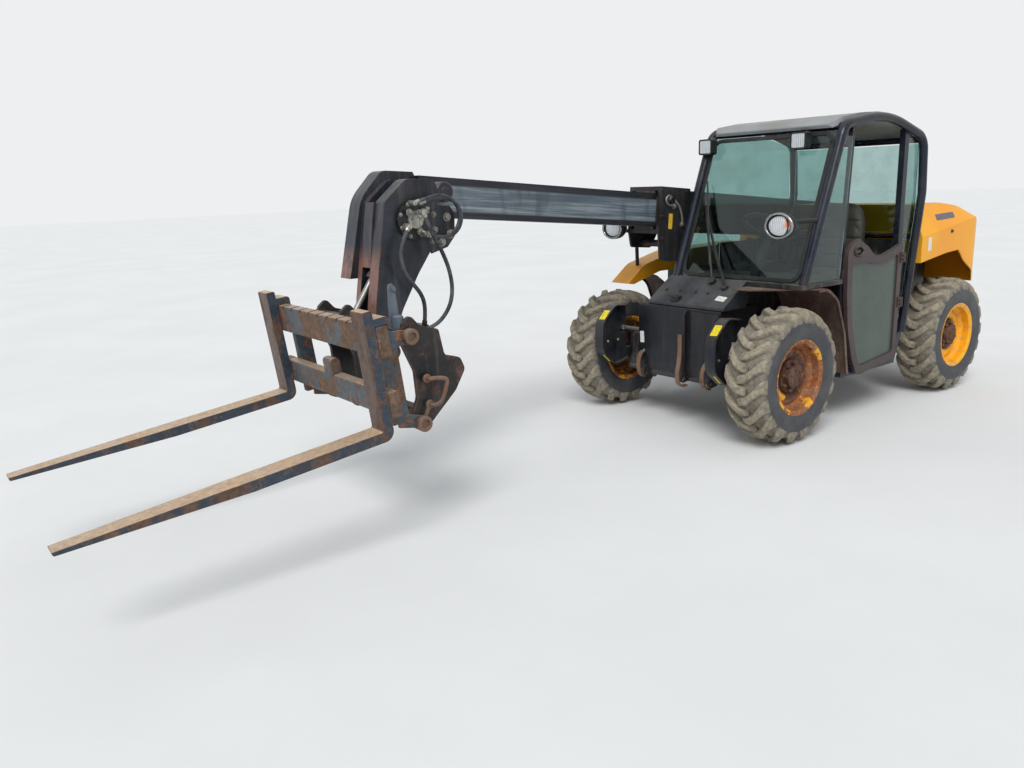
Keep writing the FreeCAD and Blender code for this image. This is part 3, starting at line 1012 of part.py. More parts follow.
# Inner boom and its gooseneck nose
inner = boom_box(INNER_REAR_U, INNER_FRONT_U, INNER_W / 2.0, -INNER_H / 2.0, INNER_H / 2.0)
inner = inner.cut(boom_box(INNER_REAR_U - 5, INNER_FRONT_U + 5, INNER_W / 2.0 - INNER_WALL,
                           -INNER_H / 2.0 + INNER_WALL, INNER_H / 2.0 - INNER_WALL))
inner = turned(inner, pivot, BOOM_REST_DEG)
u_dir = (math.cos(math.radians(BOOM_REST_DEG)), math.sin(math.radians(BOOM_REST_DEG)))


def boom_point(u, w):
    """Point of the boom's line at rest as X, Z."""
    return (pivot[0] + u * u_dir[0] - w * u_dir[1], pivot[1] + u * u_dir[1] + w * u_dir[0])


GOOSENECK = [boom_point(INNER_FRONT_U, -INNER_H / 2.0), boom_point(INNER_FRONT_U, INNER_H / 2.0), (3477, 1543),
             (3652, 1553, 60), (3775, 1425, 190), (3862, 1045), (3700, 1045, 40), (3640, 1200, 80), (3540, 1290, 60)]
gooseneck = plate_y(GOOSENECK, NOSE_FAR_Y, NOSE_STEP_Y)
LEG_OUTLINE = [(3508, 1185, 40), (3475, 1330, 200), (3468, 1505, 50), (3640, 1508, 60), (3762, 1405, 40),
               (3800, 1180, 500), (3842, 930, 500), (3858, 700, 120), (3850, 617, 44), (3758, 617, 44),
               (3752, 700, 60), (3706, 884, 200), (3600, 1060, 200)]
leg_far = plate_y(LEG_OUTLINE, NOSE_STEP_Y, SLOT_FAR_Y)
leg_near = plate_y(LEG_OUTLINE, SLOT_NEAR_Y, NOSE_NEAR_Y)
rear_web = plate_y([(3505, 1180), (3520, 1190), (3612, 1072, 180), (3720, 890, 180), (3766, 700), (3756, 700),
                    (3706, 884, 200), (3600, 1060, 200)], SLOT_FAR_Y, SLOT_NEAR_Y)
head_pin = pin_y(TILT_HEAD[0], TILT_HEAD[1], TILT_PIN_R, SLOT_FAR_Y, SLOT_NEAR_Y)
nose = fuse(gooseneck, leg_far, leg_near, rear_web, head_pin)
nose = nose.cut(pin_y(TILT_PIVOT[0], TILT_PIVOT[1], TILT_PIVOT_R + RUN_FIT, NOSE_STEP_Y - 5, NOSE_NEAR_Y + 5))
nose = nose.cut(inner)
save("inner_boom", inner)
save("boom_nose", nose)
coupling = fuse(pin_y(*FLANGE_AT, FLANGE_R, NOSE_NEAR_Y, NOSE_NEAR_Y + FLANGE_T),
                pin_y(*FLANGE_AT, 40, NOSE_NEAR_Y + FLANGE_T, NOSE_NEAR_Y + FLANGE_T + 14))
flange_face = NOSE_NEAR_Y + FLANGE_T
# name, tube radius, route points; the first and last points lie on the faces of the fittings
HOSES = [
    ("nose_hose_long_front", 10.0, [(3683, -85, 1270), (3724, -82, 1203), (3728, -78, 1110), (3683, -72, 1031),
                                    (3627, -76, 966), (3601, -94, 896), (3600, -110, 833)]),
    ("nose_hose_long_rear", 10.0, [(3603, -45, 1330), (3574, -42, 1258), (3524, -38, 1165), (3492, -34, 1080),
                                   (3476, -36, 990), (3486, -44, 910), (3526, -54, 845), (3580, -64, 806),
                                   (3634, -72, 794)]),
    ("nose_hose_short_inner", 8.0, [(3566, -100, 1401), (3502, -100, 1412), (3425, -100, 1409), (3377, -98, 1375),
                                    (3359, -96, 1319), (3377, -98, 1263), (3425, -100, 1228), (3480, -100, 1226),
                                    (3530, -100, 1243)]),
    ("nose_hose_short_outer", 8.0, [(3616, -74, 1404), (3560, -74, 1422), (3488, -73, 1430), (3428, -71, 1406),
                                    (3394, -70, 1354), (3395, -70, 1293), (3432, -72, 1244), (3494, -74, 1226),
                                    (3553, -74, 1240)]),
]
fittings = [coupling]
for name, radius, points in HOSES:
    save(name, bent_tube(points, hose_radii(points), radius))
    ends = [(points[0], points[1])]
    if "long" not in name:
        ends.append((points[-1], points[-2]))
    for here, nxt in ends:
        dx, dz = here[0] - nxt[0], here[2] - nxt[2]
        size = math.hypot(dx, dz)
        foot = (here[0] + dx / size * FITTING_LEN, here[1], here[2] + dz / size * FITTING_LEN)
        away = (Vector(*here) - Vector(*nxt)).normalize()
        nipple = Part.makeCylinder(radius + 3, FITTING_LEN + 2, Vector(*here), away)
        stub = pin_y(foot[0], foot[2], radius + 4, flange_face, here[1] + radius)
        fittings.append(fuse(nipple, stub))
hose_plate = plate_z([(3580, -200), (3580, -96, 14), (3724, -96, 14), (3724, -200)], 800, 812)
hose_tab = plate_x([(-140, 801), (-140, 766, 10), (-50, 766, 14), (-50, 801)], 3652, 3662)
bulk_down = Part.makeCylinder(13, 46, Vector(3600, -110, 833), Vector(-1, -16, -63))
bulk_side = Part.makeCylinder(14, 34, Vector(3634, -72, 794), Vector(54, -8, -12))
bracket = fuse(hose_plate, hose_tab, bulk_down, bulk_side).cut(nose)
save("hose_fittings", fuse(fittings[0], *fittings[1:]), bracket)

# Carriage: two side plates and a middle plate on the tilt pin, joined by two beams
SIDE_OUTLINE = [(4034, 932, 14), (3996, 962, 18), (3955, 916, 40), (3863, 888, 18), (3840, 775, 24), (3762, 753, 30),
                (3738, 700, 30), (3792, 612, 60), (3942, 476, 20), (3998, 476, 24), (4022, 524, 24), (3982, 610, 50),
                (3989, 725, 60), (4052, 868, 30)]
near_plate = plate_y(SIDE_OUTLINE, CARRIAGE_NEAR_Y - PLATE_T, CARRIAGE_NEAR_Y)
far_plate = plate_y(SIDE_OUTLINE, CARRIAGE_FAR_Y, CARRIAGE_FAR_Y + PLATE_T)
mid_plate = plate_y(SIDE_OUTLINE, CARRIAGE_MID_Y - PLATE_T, CARRIAGE_MID_Y)
cross_up = plate_y([(4002, 852, 10), (4058, 852, 10), (4058, 912, 10), (4002, 912, 10)],
                   CARRIAGE_FAR_Y, CARRIAGE_NEAR_Y)
cross_down = plate_y([(3925, 500, 10), (3985, 500, 10), (3985, 560, 10), (3925, 560, 10)],
                     CARRIAGE_FAR_Y, CARRIAGE_NEAR_Y)
tilt_pin = pin_y(TILT_PIVOT[0], TILT_PIVOT[1], TILT_PIVOT_R, CARRIAGE_FAR_Y, CARRIAGE_MID_Y)
slot_mid = (SLOT_FAR_Y + SLOT_NEAR_Y) / 2.0
ROD_EAR_T = 8.0
ear_x, ear_z = TILT_EYE
rod_ears = [plate_y([(4010, 858), (4010, 907), (ear_x - 24, ear_z + 26, 22), (ear_x - 24, ear_z - 26, 22)],
                    y0, y0 + ROD_EAR_T)
            for y0 in (slot_mid - CYL_EYE_W / 2.0 - EAR_GAP - ROD_EAR_T, slot_mid + CYL_EYE_W / 2.0 + EAR_GAP)]
carriage = fuse(near_plate, far_plate, mid_plate, cross_up, cross_down, tilt_pin, *rod_ears)
for pin in (UPPER_PIN, LOWER_PIN):
    carriage = carriage.cut(pin_y(*pin, LOCK_PIN_R, CARRIAGE_NEAR_Y - PLATE_T, CARRIAGE_NEAR_Y + 2))
    carriage = carriage.cut(pin_y(*pin, LOCK_PIN_R, CARRIAGE_FAR_Y - 2, CARRIAGE_FAR_Y + PLATE_T))
save("carriage_frame", carriage)


def fork_plate(corners, y0, y1):
    """Plate drawn in the fork frame: a along the blade, b up the shank, an arc radius where one is given."""
    t = math.radians(FORK_TILT_DEG)
    places = []
    for a, b, *radius in corners:
        places.append((FORK_HEEL[0] + a * math.cos(t) + b * math.sin(t),
                       FORK_HEEL[1] - a * math.sin(t) + b * math.cos(t), *radius))
    return plate_y(places, y0, y1)


bar_front = -FORK_T - FORK_BACK_FIT
bar_back = bar_front - FRAME_BAR_T
UPPER_BAR = (289.0, 413.0)
LOWER_BAR = (40.0, 145.0)


def cross_bar(b0, b1):
    """Bar of the fork frame from side to side, its edges rounded."""
    return fork_plate([(bar_back, b0, 8), (bar_front, b0, 8), (bar_front, b1, 8), (bar_back, b1, 8)],
                      FRAME_MID_Y - FRAME_HALF_Y, FRAME_MID_Y + FRAME_HALF_Y)


upper_bar = cross_bar(*UPPER_BAR)
notch_count = int(2 * FRAME_HALF_Y // NOTCH_PITCH)
for i in range(notch_count):
    mid = FRAME_MID_Y + (i - (notch_count - 1) / 2.0) * NOTCH_PITCH
    top = UPPER_BAR[1]
    upper_bar = upper_bar.cut(fork_plate([(bar_back - 1, top - NOTCH_DEPTH), (bar_front + 1, top - NOTCH_DEPTH),
                                          (bar_front + 1, top + 1), (bar_back - 1, top + 1)],
                                         mid - NOTCH_W / 2.0, mid + NOTCH_W / 2.0))
lug = fork_plate([(bar_back + 6, 140), (bar_front, 140), (bar_front, 215, 18), (bar_back + 6, 215, 18)],
                 FRAME_MID_Y - 40, FRAME_MID_Y + 40)
POST_LUG_T = 16.0
posts = []
pin_x, pin_z = UPPER_PIN
low_x, low_z = LOWER_PIN
for y0, lug_y0 in ((CARRIAGE_NEAR_Y + SEAT_GAP, CARRIAGE_NEAR_Y + SEAT_GAP),
                   (CARRIAGE_FAR_Y - SEAT_GAP - FRAME_POST_T, CARRIAGE_FAR_Y - SEAT_GAP - POST_LUG_T)):
    posts.append(fork_plate([(bar_back - 70, -22, 20), (bar_back + 5, -22), (bar_back + 5, 392),
                             (bar_back - 70, 357, 30)], y0, y0 + FRAME_POST_T))
    posts.append(plate_y([(pin_x - 32, pin_z + 24, 24), (pin_x - 32, pin_z - 26, 24), (pin_x + 90, pin_z - 40),
                          (pin_x + 90, pin_z + 30)], lug_y0, lug_y0 + POST_LUG_T))
    posts.append(plate_y([(low_x - 32, low_z + 24, 24), (low_x - 32, low_z - 26, 24), (low_x + 110, low_z),
                          (low_x + 110, low_z + 60)], lug_y0, lug_y0 + POST_LUG_T))
lock_pins = []
for pin in (UPPER_PIN, LOWER_PIN):
    lock_pins.append(pin_y(*pin, LOCK_PIN_R - RUN_FIT, CARRIAGE_NEAR_Y - PLATE_T + 1, CARRIAGE_NEAR_Y + 10))
    lock_pins.append(pin_y(*pin, LOCK_PIN_R - RUN_FIT, CARRIAGE_FAR_Y - 10, CARRIAGE_FAR_Y + PLATE_T - 1))
save("fork_frame", fuse(upper_bar, cross_bar(*LOWER_BAR), lug, *posts, *lock_pins))


def fork(mid_y):
    """One pallet fork: an L with a rounded heel, a top hook, and a blade that narrows and thins to its tip."""
    hw = FORK_W / 2.0
    tw = FORK_TIP_W / 2.0
    body = fork_plate([(-FORK_T, FORK_SHANK, 8), (-FORK_T, -FORK_T, 42), (FORK_LEN * FORK_TAPER_FROM, -FORK_T),
                       (FORK_LEN, -FORK_TIP_T, 8), (FORK_LEN, 0), (0, 0, 12), (0, FORK_SHANK, 8)],
                      mid_y - hw, mid_y + hw)
    hook = fork_plate([(-FORK_T, 416), (-FORK_T, 446, 6), (bar_back - 12, 446, 16), (bar_back - 12, 396, 5),
                       (bar_back - 1, 396), (bar_back - 1, 416)], mid_y - hw, mid_y + hw)
    t = math.radians(FORK_TILT_DEG)
    x1 = FORK_HEEL[0] + FORK_LEN * FORK_TAPER_FROM * math.cos(t)
    for sign in (1, -1):
        wedge = plate_z([(x1, mid_y + sign * hw), (TIP_X + 5, mid_y + sign * tw),
                         (TIP_X + 5, mid_y + sign * (hw + 20)), (x1, mid_y + sign * (hw + 20))], 200, 700)
        body = body.cut(wedge)
    return fuse(body, hook)


save("forks", fork(FORK_NEAR_Y), fork(FORK_FAR_Y))
handle_y = CARRIAGE_NEAR_Y + 54.0
save("locking_handle", bent_tube([(low_x, CARRIAGE_NEAR_Y + 17, low_z), (low_x, handle_y, low_z),
                                  (low_x - 70, handle_y, low_z + 55), (low_x - 85, handle_y, low_z + 195)], [10, 30], 8))


# Lift and tilt cylinders, built along the line between their pins
def cylinder_pieces(base, tip, y, barrel_r, rod_r, eye_r, pin_r, barrel_len):
    """Barrel with its base eye and gland ring, and rod with its end eye, for one cylinder."""
    start = Vector(base[0], y, base[1])
    end = Vector(tip[0], y, tip[1])
    along = (end - start).normalize()
    full = (end - start).Length
    half_eye = CYL_EYE_W / 2.0
    barrel = Part.makeCylinder(barrel_r, barrel_len - eye_r, start + along * eye_r * 1.1, along)
    gland = Part.makeCylinder(barrel_r + GLAND_RIM, GLAND_LEN,
                              start + along * (barrel_len + eye_r * 0.1 - GLAND_LEN), along)
    eye = pin_y(base[0], base[1], eye_r, y - half_eye, y + half_eye)
    shank = Part.makeCylinder(half_eye - 1.0, eye_r * 0.5, start + along * eye_r * 0.7, along)
    barrel = fuse(barrel, gland, shank, eye).cut(pin_y(base[0], base[1], pin_r + RUN_FIT, y - half_eye - 1, y + half_eye + 1))
    barrel = barrel.cut(Part.makeCylinder(rod_r + RUN_FIT, barrel_len, start + along * (eye_r * 1.6), along))
    bar = Part.makeCylinder(rod_r, full - barrel_len * ROD_IN - eye_r * 0.8, start + along * (barrel_len * ROD_IN), along)
    tip_eye = pin_y(tip[0], tip[1], eye_r, y - half_eye, y + half_eye)
    bar = fuse(bar, tip_eye).cut(pin_y(tip[0], tip[1], pin_r, y - half_eye - 1, y + half_eye + 1))
    return barrel, bar


lift_tip = boom_point(LIFT_EYE_U, LIFT_EYE_W)
for name, pieces in (
        ("lift", cylinder_pieces(LIFT_BASE, lift_tip, BOOM_Y, LIFT_BARREL_R, LIFT_ROD_R, LIFT_EYE_R, LIFT_PIN_R,
                                 LIFT_BARREL_LEN)),
        ("tilt", cylinder_pieces(TILT_HEAD, TILT_EYE, slot_mid, TILT_BARREL_R, TILT_ROD_R, TILT_EYE_R, TILT_PIN_R,
                                 TILT_BARREL_LEN))):
    save(name + "_cylinder_barrel", pieces[0])
    save(name + "_cylinder_rod", pieces[1])
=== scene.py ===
import math
import bmesh
import bpy
import numpy as np
from mathutils import Matrix, Vector


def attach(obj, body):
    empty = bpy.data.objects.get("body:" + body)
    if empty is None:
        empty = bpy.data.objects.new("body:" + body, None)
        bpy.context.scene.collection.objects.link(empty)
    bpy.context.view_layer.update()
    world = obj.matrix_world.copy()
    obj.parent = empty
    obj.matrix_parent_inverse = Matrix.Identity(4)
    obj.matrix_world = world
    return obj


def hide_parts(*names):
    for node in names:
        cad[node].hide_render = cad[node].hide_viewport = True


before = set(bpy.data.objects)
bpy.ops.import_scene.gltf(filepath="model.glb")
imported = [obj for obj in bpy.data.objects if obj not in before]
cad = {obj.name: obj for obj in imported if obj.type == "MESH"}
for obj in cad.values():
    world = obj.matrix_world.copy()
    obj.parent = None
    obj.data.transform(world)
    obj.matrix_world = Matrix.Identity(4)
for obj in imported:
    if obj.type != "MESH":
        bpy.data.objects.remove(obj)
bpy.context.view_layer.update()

# Camera: eye height of someone standing off the left front corner of the machine, a phone's wide lens,
# held slightly turned. Its place was worked out from the wheels, the boom and the forks.
def stand(name, data, body=None):
    """Put a camera, light, mesh or curve into the scene as an object, riding on a body if one is given."""
    piece = bpy.data.objects.new(name, data)
    bpy.context.scene.collection.objects.link(piece)
    if body is not None:
        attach(piece, body)
    return piece


EYE = Vector((3.3221, 3.3797, 1.4638))
YAW, PITCH, ROLL = -2.2172, -0.2331, -0.0363
ahead = Vector((math.cos(PITCH) * math.cos(YAW), math.cos(PITCH) * math.sin(YAW), math.sin(PITCH)))
level = ahead.cross(Vector((0, 0, 1))).normalized()
upward = level.cross(ahead)
right_hand = level * math.cos(ROLL) + upward * math.sin(ROLL)
head_up = upward * math.cos(ROLL) - level * math.sin(ROLL)
lens = bpy.data.cameras.new("photo_view")
FOCUS_PIXELS, PICTURE_PIXELS, SENSOR_WIDTH = 839.8, 1024.0, 36.0
lens.sensor_width = SENSOR_WIDTH
lens.lens = FOCUS_PIXELS * SENSOR_WIDTH / PICTURE_PIXELS
lens.clip_end = 200.0
camera = stand("photo_view", lens)
turn = Matrix((right_hand, head_up, -ahead)).transposed()
camera.matrix_world = Matrix.Translation(EYE) @ turn.to_4x4()
bpy.context.scene.camera = camera


# Nose hoses: four steel-braided rubber hoses between the flange on the boom nose and the carriage. Two
# long ones hang in a loop to the bulkhead bracket, two short ones make a ring back into the flange.
def tone(red, green, blue):
    """A colour as the eye sees it, 0 to 1, turned to linear light by the power 2.2."""
    return (red ** 2.2, green ** 2.2, blue ** 2.2, 1.0)


def surface(name):
    """Start a material and return it with its tree, its shader and the coordinates that travel with the
    piece."""
    material = bpy.data.materials.new(name)
    material.use_nodes = True
    tree = material.node_tree
    shader = tree.nodes["Principled BSDF"]
    where = tree.nodes.new("ShaderNodeTexCoord").outputs["Object"]
    return material, tree, shader, where


def ramp(tree, value, low, high, soft=False):
    """Mask that climbs from 0 at low to 1 at high in a straight line or, if soft, by the cubic 3t^2 -
    2t^3."""
    climb = tree.nodes.new("ShaderNodeMapRange")
    if soft:
        climb.interpolation_type = "SMOOTHSTEP"
    climb.inputs["From Min"].default_value = low
    climb.inputs["From Max"].default_value = high
    tree.links.new(value, climb.inputs["Value"])
    return climb.outputs["Result"]


def patches(tree, where, scale, low, high, stretch=(1.0, 1.0, 1.0), detail=5.0, rough=0.6):
    """Mask of cloudy patches: fractal noise over stretched coordinates, 0 under low, 1 over high, soft
    between."""
    spread = tree.nodes.new("ShaderNodeMapping")
    spread.inputs["Scale"].default_value = stretch
    tree.links.new(where, spread.inputs["Vector"])
    noise = tree.nodes.new("ShaderNodeTexNoise")
    noise.inputs["Scale"].default_value = scale
    noise.inputs["Detail"].default_value = detail
    noise.inputs["Roughness"].default_value = rough
    tree.links.new(spread.outputs["Vector"], noise.inputs["Vector"])
    return ramp(tree, noise.outputs["Fac"], low, high, soft=True)


def feed(tree, value, socket):
    """Set a socket from a number or colour, or link another socket to it."""
    if isinstance(value, bpy.types.NodeSocket):
        tree.links.new(value, socket)
    else:
        socket.default_value = value


def over(tree, mask, under, top):
    """Colour that goes from under to top as the mask goes from 0 to 1."""
    mix = tree.nodes.new("ShaderNodeMix")
    mix.data_type = "RGBA"
    feed(tree, mask, mix.inputs[0])
    feed(tree, under, mix.inputs[6])
    feed(tree, top, mix.inputs[7])
    return mix.outputs[2]


def sums(tree, operation, first, second):
    """One step of arithmetic on two masks or numbers, kept from 0 to 1."""
    step = tree.nodes.new("ShaderNodeMath")
    step.operation = operation
    step.use_clamp = True
    feed(tree, first, step.inputs[0])
    feed(tree, second, step.inputs[1])
    return step.outputs[0]


def times(tree, first, second):
    """Product of two masks or numbers."""
    return sums(tree, "MULTIPLY", first, second)


def spread_to(tree, mask, low, high):
    """A mask stretched to run from low to high."""
    stretch = tree.nodes.new("ShaderNodeMapRange")
    stretch.inputs["To Min"].default_value = low
    stretch.inputs["To Max"].default_value = high
    tree.links.new(mask, stretch.inputs["Value"])
    return stretch.outputs["Result"]


def component(tree, vector, axis):
    """One of the X, Y and Z parts of a vector socket."""
    parts = tree.nodes.new("ShaderNodeSeparateXYZ")
    tree.links.new(vector, parts.inputs["Vector"])
    return parts.outputs[axis]


def relief(tree, shader, height, depth, strength=0.6):
    """Small bumps of the given depth in metres from a height mask."""
    bump = tree.nodes.new("ShaderNodeBump")
    bump.inputs["Strength"].default_value = strength
    bump.inputs["Distance"].default_value = depth
    tree.links.new(height, bump.inputs["Height"])
    tree.links.new(bump.outputs["Normal"], shader.inputs["Normal"])


def hose_rubber():
    """Black hose cover with dust in its weave and paler worn stretches."""
    material, tree, shader, where = surface("hose_rubber")
    worn = patches(tree, where, 38.0, 0.45, 0.7)
    dust = patches(tree, where, 9.0, 0.4, 0.75)
    cover = over(tree, worn, tone(0.12, 0.13, 0.15), tone(0.24, 0.27, 0.31))
    cover = over(tree, times(tree, dust, 0.6), cover, tone(0.44, 0.45, 0.45))
    feed(tree, cover, shader.inputs["Base Color"])
    feed(tree, spread_to(tree, dust, 0.42, 0.8), shader.inputs["Roughness"])
    relief(tree, shader, patches(tree, where, 420.0, 0.3, 0.7, detail=2.0), 0.0006)
    return material


rubber_cover = hose_rubber()
nose_hoses = [
    ("nose_hose_long_front", 0.485, 0.020, [
        (1.2906, -0.085, 1.270), (1.3316, -0.082, 1.203), (1.3356, -0.078, 1.110), (1.2906, -0.072, 1.031),
        (1.2346, -0.076, 0.966), (1.2086, -0.094, 0.896), (1.2076, -0.110, 0.833)]),
    ("nose_hose_long_rear", 0.643, 0.020, [
        (1.2106, -0.045, 1.330), (1.1816, -0.042, 1.258), (1.1316, -0.038, 1.165), (1.0996, -0.034, 1.080),
        (1.0836, -0.036, 0.990), (1.0936, -0.044, 0.910), (1.1336, -0.054, 0.845), (1.1876, -0.064, 0.806),
        (1.2416, -0.072, 0.794)]),
    ("nose_hose_short_inner", 0.477, 0.016, [
        (1.1736, -0.100, 1.401), (1.1096, -0.100, 1.412), (1.0326, -0.100, 1.409), (0.9846, -0.098, 1.375),
        (0.9666, -0.096, 1.319), (0.9846, -0.098, 1.263), (1.0326, -0.100, 1.228), (1.0876, -0.100, 1.226),
        (1.1376, -0.100, 1.243)]),
    ("nose_hose_short_outer", 0.496, 0.016, [
        (1.2236, -0.074, 1.404), (1.1676, -0.074, 1.422), (1.0956, -0.073, 1.430), (1.0356, -0.071, 1.406),
        (1.0016, -0.070, 1.354), (1.0026, -0.070, 1.293), (1.0396, -0.072, 1.244), (1.1016, -0.074, 1.226),
        (1.1606, -0.074, 1.240)]),
]
for node_name, hose_length, hose_width, route in nose_hoses:
    line = bpy.data.curves.new(node_name + "_rubber", "CURVE")
    line.dimensions = "3D"
    run = line.splines.new("NURBS")
    run.points.add(len(route) - 1)
    for spot, place in zip(run.points, route):
        spot.co = (*place, 1.0)
    run.order_u = 3
    run.use_endpoint_u = True
    run.resolution_u = 10
    line.bevel_depth = hose_width / 2.0
    line.bevel_resolution = 5
    line.use_fill_caps = True
    line.materials.append(rubber_cover)
    hose = stand(node_name + "_rubber", line, "inner_boom")
    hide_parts(node_name)


# Yard and light: a plain pale floor, an even pale sky and one broad soft sun from behind the camera's left,
# as on the bright overcast day of the photograph.
def pale_floor():
    """Matt pale ground that keeps the shadow."""
    material, tree, shader, where = surface("pale_floor")
    cloud = patches(tree, where, 0.8, 0.3, 0.7)
    colour = over(tree, cloud, tone(0.885, 0.887, 0.885), tone(0.905, 0.907, 0.905))
    feed(tree, colour, shader.inputs["Base Color"])
    shader.inputs["Roughness"].default_value = 0.9
    shader.inputs["Specular IOR Level"].default_value = 0.1
    return material


HALF_YARD, FLOOR_Z = 60, -0.0006
ground = bpy.data.meshes.new("studio_floor")
around = ((-1, -1), (1, -1), (1, 1), (-1, 1))
ground.from_pydata([(HALF_YARD * x, HALF_YARD * y, FLOOR_Z) for x, y in around], [], [(0, 1, 2, 3)])
ground.materials.append(pale_floor())
stand("studio_floor", ground)

sky = bpy.data.worlds.new("even_sky")
sky.use_nodes = True
bpy.context.scene.world = sky
sky_tree = sky.node_tree
sky_light = sky_tree.nodes["Background"]
sky_light.inputs["Color"].default_value = (0.93, 0.965, 1.0, 1.0)
sky_light.inputs["Strength"].default_value = 0.62
sky_seen = sky_tree.nodes.new("ShaderNodeBackground")
sky_seen.inputs["Color"].default_value = (0.90, 0.91, 0.92, 1.0)
sky_seen.inputs["Strength"].default_value = 0.95
rays = sky_tree.nodes.new("ShaderNodeLightPath")
seen = sums(sky_tree, "MAXIMUM", rays.outputs["Is Camera Ray"], rays.outputs["Is Glossy Ray"])
seen = sums(sky_tree, "MAXIMUM", seen, rays.outputs["Is Transmission Ray"])
choose = sky_tree.nodes.new("ShaderNodeMixShader")
sky_tree.links.new(seen, choose.inputs["Fac"])
sky_tree.links.new(sky_light.outputs["Background"], choose.inputs[1])
sky_tree.links.new(sky_seen.outputs["Background"], choose.inputs[2])
sky_tree.links.new(choose.outputs["Shader"], sky_tree.nodes["World Output"].inputs["Surface"])

bpy.context.scene.view_settings.view_transform = "Standard"
sun = bpy.data.lights.new("soft_sun", "SUN")
sun.energy = 1.9
sun.angle = math.radians(28)
SUN_STANDS = Vector((0.62, 0.55, 0.95))
stand("soft_sun", sun).matrix_world = SUN_STANDS.to_track_quat("Z", "Y").to_matrix().to_4x4()


# Bodywork and frame paint: two-pack enamel over steel plate, faded and streaked by rain, chipped to rust
# along its edges, with farmyard dust on what faces up and dried mud low down.
def worn_edges(tree, width):
    """Mask of sharp edges: how far the surface's own normal is from one averaged over the given width."""
    soft = tree.nodes.new("ShaderNodeBevel")
    soft.samples = 4
    soft.inputs["Radius"].default_value = width
    flat = tree.nodes.new("ShaderNodeNewGeometry")
    dot = tree.nodes.new("ShaderNodeVectorMath")
    dot.operation = "DOT_PRODUCT"
    tree.links.new(soft.outputs["Normal"], dot.inputs[0])
    tree.links.new(flat.outputs["Normal"], dot.inputs[1])
    return ramp(tree, dot.outputs["Value"], 0.985, 0.86)


def lower_than(tree, where, low, high):
    """Mask that is 1 below the height low and 0 above high."""
    return ramp(tree, component(tree, where, "Z"), high, low, soft=True)


def facing_up(tree):
    """Mask of surfaces that face the sky, where dust settles."""
    flat = tree.nodes.new("ShaderNodeNewGeometry")
    return ramp(tree, component(tree, flat.outputs["Normal"], "Z"), 0.35, 0.95)


def enamel(name, coat, faded, rust_edge=0.0, rust_spots=0.0, dust=0.4, mud=0.0, mud_height=0.8, streaks=0.3,
           gloss=0.32, metal=0.0, rust=(0.36, 0.20, 0.13), dust_tone=(0.55, 0.53, 0.48), rubbed=None):
    """Painted steel: patches of fading, rain streaks, settled dust, low mud, and rust on edges and in spots.
    Where rubbed gives a colour, faces that look forward below 1.22 m are worn to it."""
    material, tree, shader, where = surface(name)
    fade = patches(tree, where, 2.6, 0.38, 0.66)
    colour = over(tree, fade, tone(*coat), tone(*faded))
    rain = patches(tree, where, 26.0, 0.48, 0.74, stretch=(1.0, 1.0, 0.09), detail=6.0)
    colour = over(tree, times(tree, rain, streaks), colour, tone(*dust_tone))
    cloud = patches(tree, where, 7.5, 0.34, 0.66, detail=8.0, rough=0.7)
    settled = times(tree, times(tree, facing_up(tree), spread_to(tree, cloud, 0.4, 1.0)), dust)
    film = times(tree, cloud, dust * 0.28)
    dirt = sums(tree, "ADD", settled, film)
    if mud > 0.0:
        splash = patches(tree, where, 17.0, 0.36, 0.6, detail=9.0, rough=0.75)
        low = lower_than(tree, where, mud_height * 0.35, mud_height)
        dirt = sums(tree, "ADD", dirt, times(tree, times(tree, splash, low), mud))
    colour = over(tree, dirt, colour, tone(*dust_tone))
    grain = patches(tree, where, 60.0, 0.35, 0.68, detail=8.0, rough=0.7)
    spots = patches(tree, where, 11.0, 0.66 - 0.22 * rust_spots, 0.72, detail=9.0, rough=0.72)
    rusty = times(tree, spots, rust_spots)
    if rust_edge > 0.0:
        bare = times(tree, worn_edges(tree, 0.007), patches(tree, where, 23.0, 0.32, 0.5, detail=7.0))
        rusty = sums(tree, "MAXIMUM", rusty, times(tree, bare, rust_edge))
    if rubbed is not None:
        own_normal = tree.nodes.new("ShaderNodeTexCoord").outputs["Normal"]
        forward = sums(tree, "GREATER_THAN", component(tree, own_normal, "X"), 0.5)
        forward = times(tree, forward, lower_than(tree, where, 1.10, 1.22))
        worn = times(tree, forward, patches(tree, where, 9.0, 0.30, 0.48, detail=9.0, rough=0.7))
        colour = over(tree, worn, colour, tone(*rubbed))
    deep = (rust[0] * 0.55, rust[1] * 0.5, rust[2] * 0.5)
    colour = over(tree, rusty, colour, over(tree, grain, tone(*deep), tone(*rust)))
    feed(tree, colour, shader.inputs["Base Color"])
    dull = sums(tree, "MAXIMUM", dirt, rusty)
    feed(tree, spread_to(tree, dull, gloss, 0.86), shader.inputs["Roughness"])
    shader.inputs["Metallic"].default_value = metal
    shader.inputs["Specular IOR Level"].default_value = 0.35
    crust = times(tree, sums(tree, "MAXIMUM", rusty, spread_to(tree, dirt, 0.0, 0.5)), grain)
    relief(tree, shader, crust, 0.0012, 0.5)
    return material


def dress(material, *node_names):
    """Give CAD nodes a material through their objects' own slots."""
    for node_name in node_names:
        if not cad[node_name].material_slots:
            cad[node_name].data.materials.append(None)
        for place in cad[node_name].material_slots:
            place.link = "OBJECT"
            place.material = material


